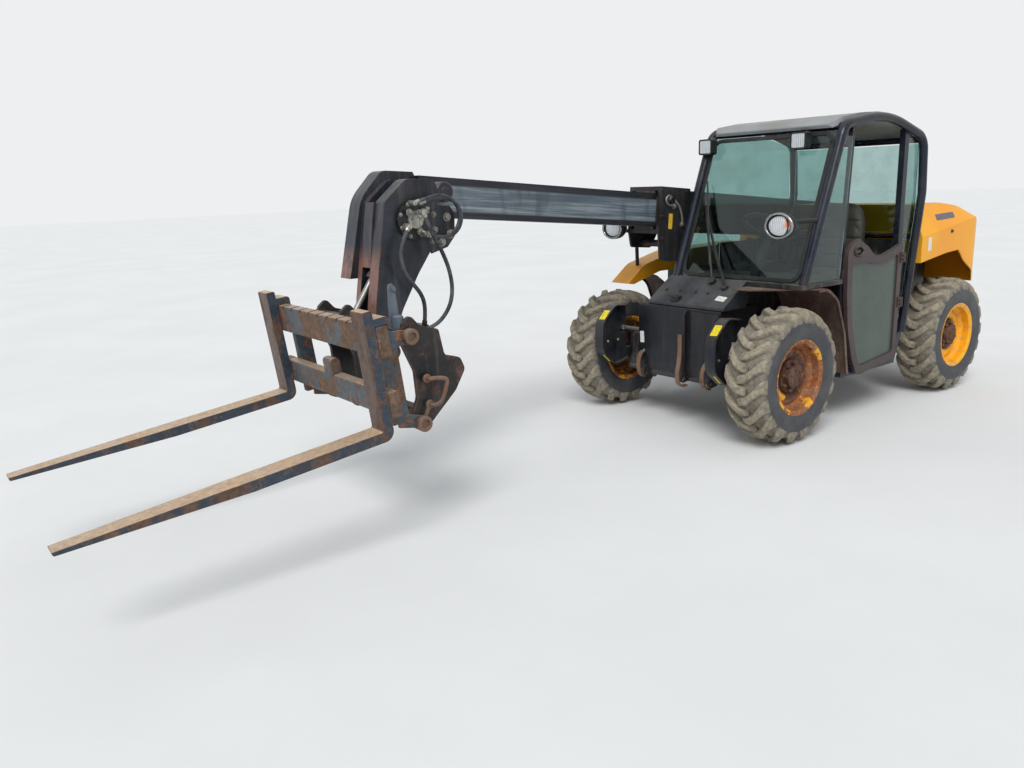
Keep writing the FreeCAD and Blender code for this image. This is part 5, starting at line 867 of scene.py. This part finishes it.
DOME = [(0.0, 0.012), (0.018, 0.0113), (0.036, 0.009), (0.050, 0.0055), (0.0608, 0.001), (0.0608, -0.004),
        (0.0, -0.004)]
BEZEL = [(0.0585, 0.008), (0.0640, 0.0095), (0.0695, 0.007), (0.0705, 0.0), (0.0600, -0.002)]
BOWL = [(0.0, -0.003), (0.066, -0.003), (0.0700, -0.012), (0.068, -0.040), (0.054, -0.066), (0.034, -0.078),
        (0.0, -0.080)]
chrome = enamel("dull_chrome", (0.66, 0.67, 0.68), (0.52, 0.53, 0.54), rust_spots=0.12, dust=0.25, gloss=0.22,
                metal=0.9)
for lamp_name, lamp_at, lens_colour in (
        ("right", (-0.5624, -0.625, 1.164), lamp_lens("clear_lens", (0.86, 0.88, 0.89))),
        ("left", (-0.5444, 0.650, 1.200), lamp_lens("lens_with_amber", (0.86, 0.88, 0.89), amber=0.688))):
    lens_at = (lamp_at[0] - 0.008, lamp_at[1], lamp_at[2])
    for part_name, profile, part_at, finish in (("_head_lens", DOME, lens_at, lens_colour),
                                                ("_head_bezel", BEZEL + BEZEL[:1], lamp_at, chrome),
                                                ("_head_bowl", BOWL, lamp_at, finish_of("lamps"))):
        shape = widened(lathe(profile, part_at, (1, 0, 0)), lamp_at[1], 1.28)
        grown(lamp_name + part_name, *shape, "chassis", finish, smooth=True)
work_glass = lamp_lens("work_lens", (0.80, 0.83, 0.85))
for lamp_name, lamp_y in (("left", 0.472), ("right", -0.190)):
    pane = slab(rounded(0.083, 0.077, 0.009), 0.006, (-0.9494, lamp_y, 1.647), (0, 1, 0), (0, 0, 1))
    grown(lamp_name + "_work_lens", *pane, "chassis", work_glass)
tail_red = enamel("tail_red", (0.62, 0.10, 0.07), (0.50, 0.10, 0.08), dust=0.4, gloss=0.2)
for lamp_name, lamp_y in (("left", 0.405), ("right", -0.635)):
    pane = slab(rounded(0.082, 0.046, 0.008), 0.004, (-2.8734, lamp_y, 0.9275), (0, -1, 0), (0, 0, 1))
    grown(lamp_name + "_tail_lens", *pane, "chassis", tail_red)


# Wheel nuts and hub caps: eight hexagon nuts on studs clamp each disc to its hub, and a low cap held by
# six small screws closes the hub's middle. All of it has rusted brown.
def hexagon(radius):
    """Six corners of a nut."""
    around = np.arange(6) * np.pi / 3
    return np.stack([radius * np.cos(around), radius * np.sin(around)], axis=-1)


NUT_CIRCLE, CAP_CIRCLE = 0.077, 0.042
STUD = [(0.0, 0.020), (0.0055, 0.019), (0.007, 0.016), (0.007, 0.0), (0.0, 0.0)]
HUB_CAP = [(0.0, 0.010), (0.030, 0.009), (0.048, 0.004), (0.054, 0.0), (0.0, 0.0)]
nut_rust = enamel("nut_rust", (0.30, 0.19, 0.15), (0.38, 0.25, 0.19), rust_spots=0.6, dust=0.35, gloss=0.7)
for corner, axle_x, side in WHEELS:
    face_y = side * (HALF_TRACK + 0.060)
    nuts = []
    for k in range(8):
        turn_at = k * np.pi / 4 + 0.2
        spot = (axle_x + NUT_CIRCLE * math.cos(turn_at), face_y,
                WHEEL_RADIUS + NUT_CIRCLE * math.sin(turn_at))
        nuts.append(slab(hexagon(0.0125), 0.014, spot, (side, 0, 0), (0, 0, -1), soft=0.003))
        nuts.append(lathe(STUD, spot, (0, side, 0), turns=12))
    cap_y = side * (HALF_TRACK + 0.087)
    nuts.append(lathe(HUB_CAP, (axle_x, cap_y, WHEEL_RADIUS), (0, side, 0), turns=36))
    for k in range(6):
        turn_at = k * np.pi / 3 + 0.4
        spot = (axle_x + CAP_CIRCLE * math.cos(turn_at), cap_y + side * 0.004,
                WHEEL_RADIUS + CAP_CIRCLE * math.sin(turn_at))
        nuts.append(slab(hexagon(0.0075), 0.007, spot, (side, 0, 0), (0, 0, -1), soft=0.0015))
    grown(corner + "_wheel_nuts", *joined(nuts), corner + "_wheel", nut_rust)


# Front box trim: half rings of flat strip round the lashing eyes, the bent strip that runs down the
# divider into the middle eye, bolts and blank labels, here and on the guards, the deck and the bonnet.
# The strips are rubbed to bare rusty steel by chains.
def circle(radius, sides=16):
    """Outline of a round bar."""
    around = np.arange(sides) * 2 * np.pi / sides
    return np.stack([radius * np.cos(around), radius * np.sin(around)], axis=-1)


def through(points, steps=8):
    """Smooth path through points by Catmull-Rom: half of 2b + (c - a)t + (2a - 5b + 4c - d)t^2 +
    (3b - a - 3c + d)t^3 between b and c, with a before them and d after."""
    p = np.asarray(points, dtype=float)
    p = np.concatenate([[2 * p[0] - p[1]], p, [2 * p[-1] - p[-2]]])
    t = np.linspace(0.0, 1.0, steps, endpoint=False)[:, None]
    runs = [0.5 * (2 * b + (c - a) * t + (2 * a - 5 * b + 4 * c - d) * t ** 2
                   + (3 * b - a - 3 * c + d) * t ** 3) for a, b, c, d in zip(p, p[1:], p[2:], p[3:])]
    return np.concatenate(runs + [p[-2:-1]])


def swept(path, outline, up):
    """A closed outline carried along a path. Its second direction starts on up and is carried on by
    taking off its part along the path; its first direction is the cross product of the two."""
    path = np.asarray(path, dtype=float)
    way = np.gradient(path, axis=0)
    way /= np.linalg.norm(way, axis=1, keepdims=True)
    rise = np.array(up, dtype=float)
    rings = []
    for spot, forward in zip(path, way):
        rise = rise - rise.dot(forward) * forward
        rise /= np.linalg.norm(rise)
        rings.append(spot + outline[:, :1] * np.cross(rise, forward) + outline[:, 1:] * rise)
    count = len(outline)
    faces = [tuple(range(count))[::-1], tuple(range((len(path) - 1) * count, len(path) * count))]
    faces += [tuple(map(int, quad)) for quad in grid_faces(len(path), count, 0, close_columns=True)]
    return np.concatenate(rings), faces


def facing(way):
    """Two directions across a way whose cross product is the way itself."""
    way = np.array(way, dtype=float) / np.linalg.norm(way)
    across = np.cross((0.0, 0.0, 1.0) if abs(way[2]) < 0.9 else (0.0, 1.0, 0.0), way)
    across /= np.linalg.norm(across)
    return across, np.cross(way, across), way


def bolt(spot, way, radius):
    """Hexagon head on a washer, standing on a surface at spot."""
    across, up, way = facing(way)
    spot = np.array(spot, dtype=float)
    return joined([slab(circle(radius * 1.45, 20), 0.0022, spot - 0.0004 * way, across, up, soft=0.0006),
                   slab(hexagon(radius), radius * 0.8, spot + 0.0016 * way, across, up, soft=radius * 0.14)])


def sticker(spot, way, width, height, spin=0.0):
    """Thin blank label lying on a surface."""
    across, up, way = facing(way)
    tip = math.radians(spin)
    side, top = across * math.cos(tip) + up * math.sin(tip), up * math.cos(tip) - across * math.sin(tip)
    outline = rounded(width, height, min(width, height) * 0.12)
    return slab(outline, 0.0012, np.array(spot) - 0.0004 * way, side, top, soft=0.0004)


def paper(name, colour, worn_tone):
    """Printed film, scuffed and dusty."""
    material, tree, shader, where = surface(name)
    scuffs = patches(tree, where, 70.0, 0.50, 0.68, detail=8.0, rough=0.75)
    feed(tree, over(tree, scuffs, tone(*colour), tone(*worn_tone)), shader.inputs["Base Color"])
    shader.inputs["Roughness"].default_value = 0.42
    return material


bare_steel = enamel("bare_rusty_steel", (0.50, 0.38, 0.31), (0.38, 0.29, 0.25), rust_spots=0.7, dust=0.45,
                    gloss=0.55, metal=0.2, rust=(0.46, 0.29, 0.22))
white_label = paper("white_label", (0.88, 0.88, 0.86), (0.45, 0.46, 0.48))
yellow_label = paper("yellow_label", (0.93, 0.83, 0.12), (0.40, 0.37, 0.20))
bolt_steel = enamel("bolt_steel", (0.62, 0.61, 0.58), (0.45, 0.43, 0.41), rust_spots=0.35, dust=0.3,
                    gloss=0.4, metal=0.5)
BOX_FACE = -0.4924
DECK_OUT = (0.558, 0, 0.830)
strip = rounded(0.011, 0.030, 0.003, steps=2)
rings = []
for eye_y, eye_z, bulge, half_height in ((-0.286, 0.328, 0.044, 0.080), (0.240, 0.328, 0.060, 0.080)):
    turn_at = np.radians(np.linspace(97, -97, 22))
    rings.append(swept(np.stack([BOX_FACE - 0.004 + bulge * np.cos(turn_at), np.full(22, eye_y),
                                 eye_z + half_height * np.sin(turn_at)], axis=-1), strip, (0, 1, 0)))
hook = [(0.046, 0.560), (0.046, 0.470), (0.052, 0.400), (0.066, 0.330), (0.058, 0.268), (0.026, 0.243),
        (-0.012, 0.243)]
hook = through([(BOX_FACE + forward, 0.060, height) for forward, height in hook])
rings.append(swept(hook, strip, (0, 1, 0)))
grown("front_eye_rings", *joined(rings), "chassis", bare_steel)
grown("front_box_screw", *bolt((BOX_FACE, -0.276, 0.415), (1, 0, 0), 0.0065), "chassis", bolt_steel)
trim = []
for bolt_y, bolt_z in ((0.040, 0.415), (0.040, 0.690), (-0.290, 0.690)):
    trim.append(bolt((BOX_FACE, bolt_y, bolt_z), (1, 0, 0), 0.0065))
for bolt_y in (0.120, 0.296):
    for bolt_z in (0.345, 0.670):
        trim.append(bolt((BOX_FACE + 0.012, bolt_y, bolt_z), (1, 0, 0), 0.0060))
for deck_y in (-0.170, -0.060, 0.060, 0.150):
    trim.append(bolt((-0.585, deck_y, 0.7968), DECK_OUT, 0.0070))
grown("front_box_bolts", *joined(trim), "chassis", finish_of("front_box"))
for label_name, spot, way, width, height, spin in (
        ("box_label", (BOX_FACE, -0.292, 0.500), (1, 0, 0), 0.034, 0.072, 3),
        ("deck_label", (-0.5585, 0.268, 0.7790), DECK_OUT, 0.070, 0.040, -6),
        ("bonnet_label", (-2.0746, 0.700, 1.0011), (0, 1, 0), 0.040, 0.085, 2)):
    grown(label_name, *sticker(spot, way, width, height, spin), "chassis", white_label)
for guard, guard_y in (("front_left", 0.440), ("front_right", -0.440)):
    label = sticker((-0.3090, guard_y, 0.6457), (0.684, 0, 0.730), 0.048, 0.074, spin=4)
    grown(guard + "_guard_label", *label, guard + "_knuckle", yellow_label)
    label = sticker((-0.3180, guard_y + 0.006, 0.3676), (0.670, 0, -0.742), 0.012, 0.070)
    grown(guard + "_guard_strip", *label, guard + "_knuckle", yellow_label)
    studs = []
    for face_y, way in ((guard_y + 0.004, 1), (guard_y - 0.004, -1)):
        for bolt_x in (-0.333, -0.421):
            studs.append(bolt((bolt_x, face_y, 0.474), (0, way, 0), 0.0065))
    grown(guard + "_guard_bolts", *joined(studs), guard + "_knuckle", bolt_steel)


# Boom nose: a gusset plate with hexagon plugs behind the hose flange, the flange's screws and elbows, the
# round boss of the boom's end stop, and the strip that closes the front of the leg above the tilt
# cylinder.
def plate(outline, y0, y1, soft=0.002):
    """Flat plate between two offsets from an outline of (x, z) points, its outer edge softened."""
    outline = np.asarray(outline, dtype=float)
    middle = outline.mean(axis=0)
    flip = -1.0 if y1 > y0 else 1.0
    local = (outline - middle) * np.array([flip, 1.0])
    return slab(local, abs(y1 - y0), (middle[0], y0, middle[1]), (flip, 0, 0), (0, 0, 1), soft=soft)


GUSSET_FACE = -0.1395
BOSS_AT = (1.018, -0.302, 1.440)
gusset = plate([(1.100, 1.382), (1.010, 1.374), (0.982, 1.338), (0.986, 1.226), (1.030, 1.176),
                (1.124, 1.150), (1.124, 1.200), (1.096, 1.330)], -0.156, GUSSET_FACE)
boss = lathe([(0.0, 0.142), (0.044, 0.142), (0.050, 0.136), (0.050, 0.0), (0.0, 0.0)], BOSS_AT, (0, 1, 0))
cap = lathe([(0.0, 0.148), (0.020, 0.148), (0.024, 0.142), (0.0, 0.142)], BOSS_AT, (0, 1, 0), turns=24)
leg_front = ((1.3745, 1.405), (1.3890, 1.330), (1.4010, 1.240), (1.4115, 1.150), (1.4173, 1.100))
cover = swept([(x, -0.265, z) for x, z in leg_front], rounded(0.010, 0.082, 0.002, steps=1), (0, 1, 0))
grown("nose_gusset", *joined([gusset, boss, cap, cover]), "inner_boom", finish_of("boom_nose"))
plugs = []
for plug_x, plug_z, size in ((1.028, 1.320, 0.0150), (1.012, 1.238, 0.0150), (1.062, 1.200, 0.0140),
                             (1.100, 1.262, 0.0120), (1.118, 1.214, 0.0120), (1.104, 1.336, 0.0100)):
    plugs.append(bolt((plug_x, GUSSET_FACE, plug_z), (0, 1, 0), size))
for k in range(8):
    turn_at = k * np.pi / 4 + 0.35
    screw_x, screw_z = 1.2226 + 0.080 * math.cos(turn_at), 1.317 + 0.080 * math.sin(turn_at)
    plugs.append(bolt((screw_x, FLANGE_FACE, screw_z), (0, 1, 0), 0.0070))
for elbow_x, elbow_z, lean in ((1.250, 1.352, 0.3), (1.196, 1.262, -2.4), (1.176, 1.352, 2.0)):
    way = np.array([math.cos(lean), 0.0, math.sin(lean)])
    start = np.array([elbow_x, FLANGE_FACE, elbow_z])
    plugs.append(bolt(start, (0, 1, 0), 0.0125))
    bend = through([start + (0, 0.006, 0), start + (0, 0.022, 0), start + (0, 0.030, 0) + 0.006 * way,
                    start + (0, 0.032, 0) + 0.022 * way])
    plugs.append(swept(bend, circle(0.0075, 12), (0.3, 0.1, 1.0)))
    across, up, _ = facing(way)
    plugs.append(slab(hexagon(0.0110), 0.012, start + (0, 0.032, 0) + 0.012 * way, across, up, soft=0.001))
grown("nose_plugs", *joined(plugs), "inner_boom", bolt_steel)


# Boom collar: the thick end of the outer boom. On its left side two bent steel pipes lie between their plated
# unions, five screws hold the wear pads, and an amber label is stuck between them.
COLLAR_FACE = -0.266
collar_label = sticker((-0.7176, COLLAR_FACE, 1.2040), (0, 1, 0), 0.034, 0.094, spin=-4)
amber_label = paper("amber_label", (0.90, 0.72, 0.22), (0.46, 0.33, 0.16))
grown("collar_label", *collar_label, "outer_boom", amber_label)
upper_route = [(-0.716, -0.262, 1.345), (-0.714, -0.259, 1.350), (-0.690, -0.258, 1.362),
               (-0.668, -0.258, 1.338), (-0.690, -0.258, 1.306), (-0.725, -0.259, 1.300),
               (-0.748, -0.262, 1.296)]
lower_route = [(-0.745, -0.262, 1.330), (-0.752, -0.259, 1.326), (-0.790, -0.258, 1.290),
               (-0.815, -0.259, 1.230), (-0.822, -0.262, 1.180)]
pipes = [swept(through(route), circle(0.007, 12), (0, 1, 0)) for route in (upper_route, lower_route)]
for union_x, union_z in ((-0.716, 1.345), (-0.748, 1.296), (-0.745, 1.330), (-0.822, 1.180)):
    pipes.append(bolt((union_x, COLLAR_FACE, union_z), (0, 1, 0), 0.0130))
grown("collar_pipes", *joined(pipes), "outer_boom", bolt_steel)
screws = []
for screw_x, screw_z in ((-0.640, 1.395), (-0.640, 1.100), (-0.860, 1.380), (-0.860, 1.130), (-0.640, 1.240)):
    screws.append(bolt((screw_x, COLLAR_FACE, screw_z), (0, 1, 0), 0.0085))
grown("collar_bolts", *joined(screws), "outer_boom", finish_of("outer_boom"))


# Carriage fittings: the sleeves of the four pins, the rusty bent handle that pulls the lower locking pin
# on the left plate, and the blue-grey locking lever with its spring cap that stands on the upper beam.
SLEEVE = [(0.0, 0.016), (0.018, 0.016), (0.020, 0.026), (0.031, 0.026), (0.034, 0.022), (0.034, 0.0),
          (0.0, 0.0)]
HANDLE_BOSS = [(0.0, 0.012), (0.017, 0.010), (0.020, 0.006), (0.020, 0.0), (0.0, 0.0)]
sleeves = []
for plate_y, way in ((0.4463, 1), (-0.3873, -1)):
    for pin_x, pin_z in ((1.6226, 0.879), (1.5826, 0.505)):
        sleeves.append(lathe(SLEEVE, (pin_x, plate_y, pin_z), (0, way, 0), turns=28))
grown("carriage_sleeves", *joined(sleeves), "carriage", bare_steel)
loop = through([(1.553, 0.428, 0.692), (1.553, 0.470, 0.694), (1.535, 0.482, 0.696), (1.490, 0.482, 0.688),
                (1.476, 0.482, 0.672), (1.492, 0.482, 0.622), (1.510, 0.482, 0.592), (1.530, 0.478, 0.582),
                (1.545, 0.462, 0.580), (1.546, 0.428, 0.580)], steps=6)
link = [(x, 0.4520, z) for x, z in ((1.546, 0.584), (1.560, 0.556), (1.572, 0.528), (1.583, 0.503))]
handle = [swept(loop, circle(0.0095), (0, 0.3, 1)),
          swept(link, rounded(0.009, 0.016, 0.002, steps=2), (1, 0, 0.4))]
for boss_x, boss_z in ((1.553, 0.692), (1.546, 0.580)):
    handle.append(lathe(HANDLE_BOSS, (boss_x, 0.446, boss_z), (0, 1, 0), turns=20))
grab = grown("carriage_grab", *joined(handle), "carriage", bare_steel, smooth=True)
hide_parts("locking_handle")
lever = plate([(1.664, 0.906), (1.616, 0.906), (1.622, 0.980), (1.630, 1.060), (1.634, 1.080), (1.644, 1.090),
               (1.656, 1.088), (1.662, 1.074), (1.662, 1.050)], 0.360, 0.372)
spring = [(0.0, 0.052), (0.018, 0.052), (0.023, 0.046), (0.023, 0.0), (0.0, 0.0)]
fittings = [lever, lathe(spring, (1.640, 0.395, 0.910), (0, 0, 1), turns=24),
            bolt((1.640, 0.372, 1.066), (0, 1, 0), 0.0090)]
grown("carriage_lever", *joined(fittings), "carriage", enamel("lever_blue_grey", (0.30, 0.36, 0.44),
                                                              (0.38, 0.42, 0.47), rust_edge=0.5,
                                                              rust_spots=0.3, dust=0.3, gloss=0.4,
                                                              rust=(0.46, 0.34, 0.28)))


# Door and cab trim: the wiper's second arm on the deck, the windscreen's rubber seal, a black ring round
# the door handle's recess, hinge bolts, a blank decal band on the bonnet's shoulder and the bonnet's
# catch.
def oval(x, y, z, wide, high, turns=40):
    """Points of an ellipse in the plane y, closed by a last point on the first."""
    around = np.linspace(0.0, 2 * np.pi, turns + 1)
    return np.stack([x + wide * np.cos(around), np.full(turns + 1, y), z + high * np.sin(around)], axis=-1)


pivot = [(0.0, 0.020), (0.019, 0.018), (0.024, 0.0), (0.024, -0.006), (0.0, -0.006)]
arm = through([(-0.626, 0.235, 0.838), (-0.636, 0.222, 0.872), (-0.700, 0.120, 0.990),
               (-0.790, -0.010, 1.160), (-0.862, -0.112, 1.318)])
joint = through([(-0.842, -0.090, 1.290), (-0.880, -0.118, 1.352)], steps=4)
wiper = [lathe(pivot, (-0.632, 0.235, 0.829), DECK_OUT, turns=24),
         swept(arm, rounded(0.016, 0.009, 0.002, steps=2), (1, 0, 0)),
         swept(joint, circle(0.011), (1, 0, 0))]
grown("wiper_arm", *joined(wiper), "chassis", finish_of("wiper"))
GLASS_MIDDLE = np.array([-0.8845, 0.235, 1.280])
GLASS_UP, GLASS_OUT = np.array([-0.3427, 0.0, 0.9395]), np.array([0.9395, 0.0, 0.3427])
around = rounded(0.826, 0.842, 0.060, steps=6)
around = np.concatenate([around, around[:2]])
run = GLASS_MIDDLE + around[:, :1] * (0.0, 1.0, 0.0) + around[:, 1:] * GLASS_UP + 0.006 * GLASS_OUT
seal = swept(run, rounded(0.024, 0.007, 0.002, steps=2), GLASS_OUT)
grown("windscreen_seal", *seal, "chassis", finish_of("wiper"))
trim_black = enamel("trim_black", (0.07, 0.075, 0.085), (0.12, 0.125, 0.135), dust=0.3, gloss=0.45)
door_trim = [swept(oval(-1.2324, 0.7145, 1.018, 0.047, 0.027), circle(0.0060, 12), (0, 1, 0))]
for hinge_z in (0.660, 0.684, 0.934, 0.958):
    door_trim.append(bolt((-1.7084, 0.7210, hinge_z), (0, 1, 0), 0.0065))
grown("door_trim", *joined(door_trim), "door", trim_black, smooth=True)
band = sticker((-2.3157, 0.6640, 1.1640), (0.03, 0.89, 0.45), 0.230, 0.042, spin=2)
grown("bonnet_band", *band, "chassis", paper("faded_band", (0.34, 0.35, 0.42), (0.62, 0.48, 0.24)))
grown("bonnet_catch", *bolt((-2.3517, 0.700, 1.066), (0, 1, 0), 0.0090), "chassis", trim_black)
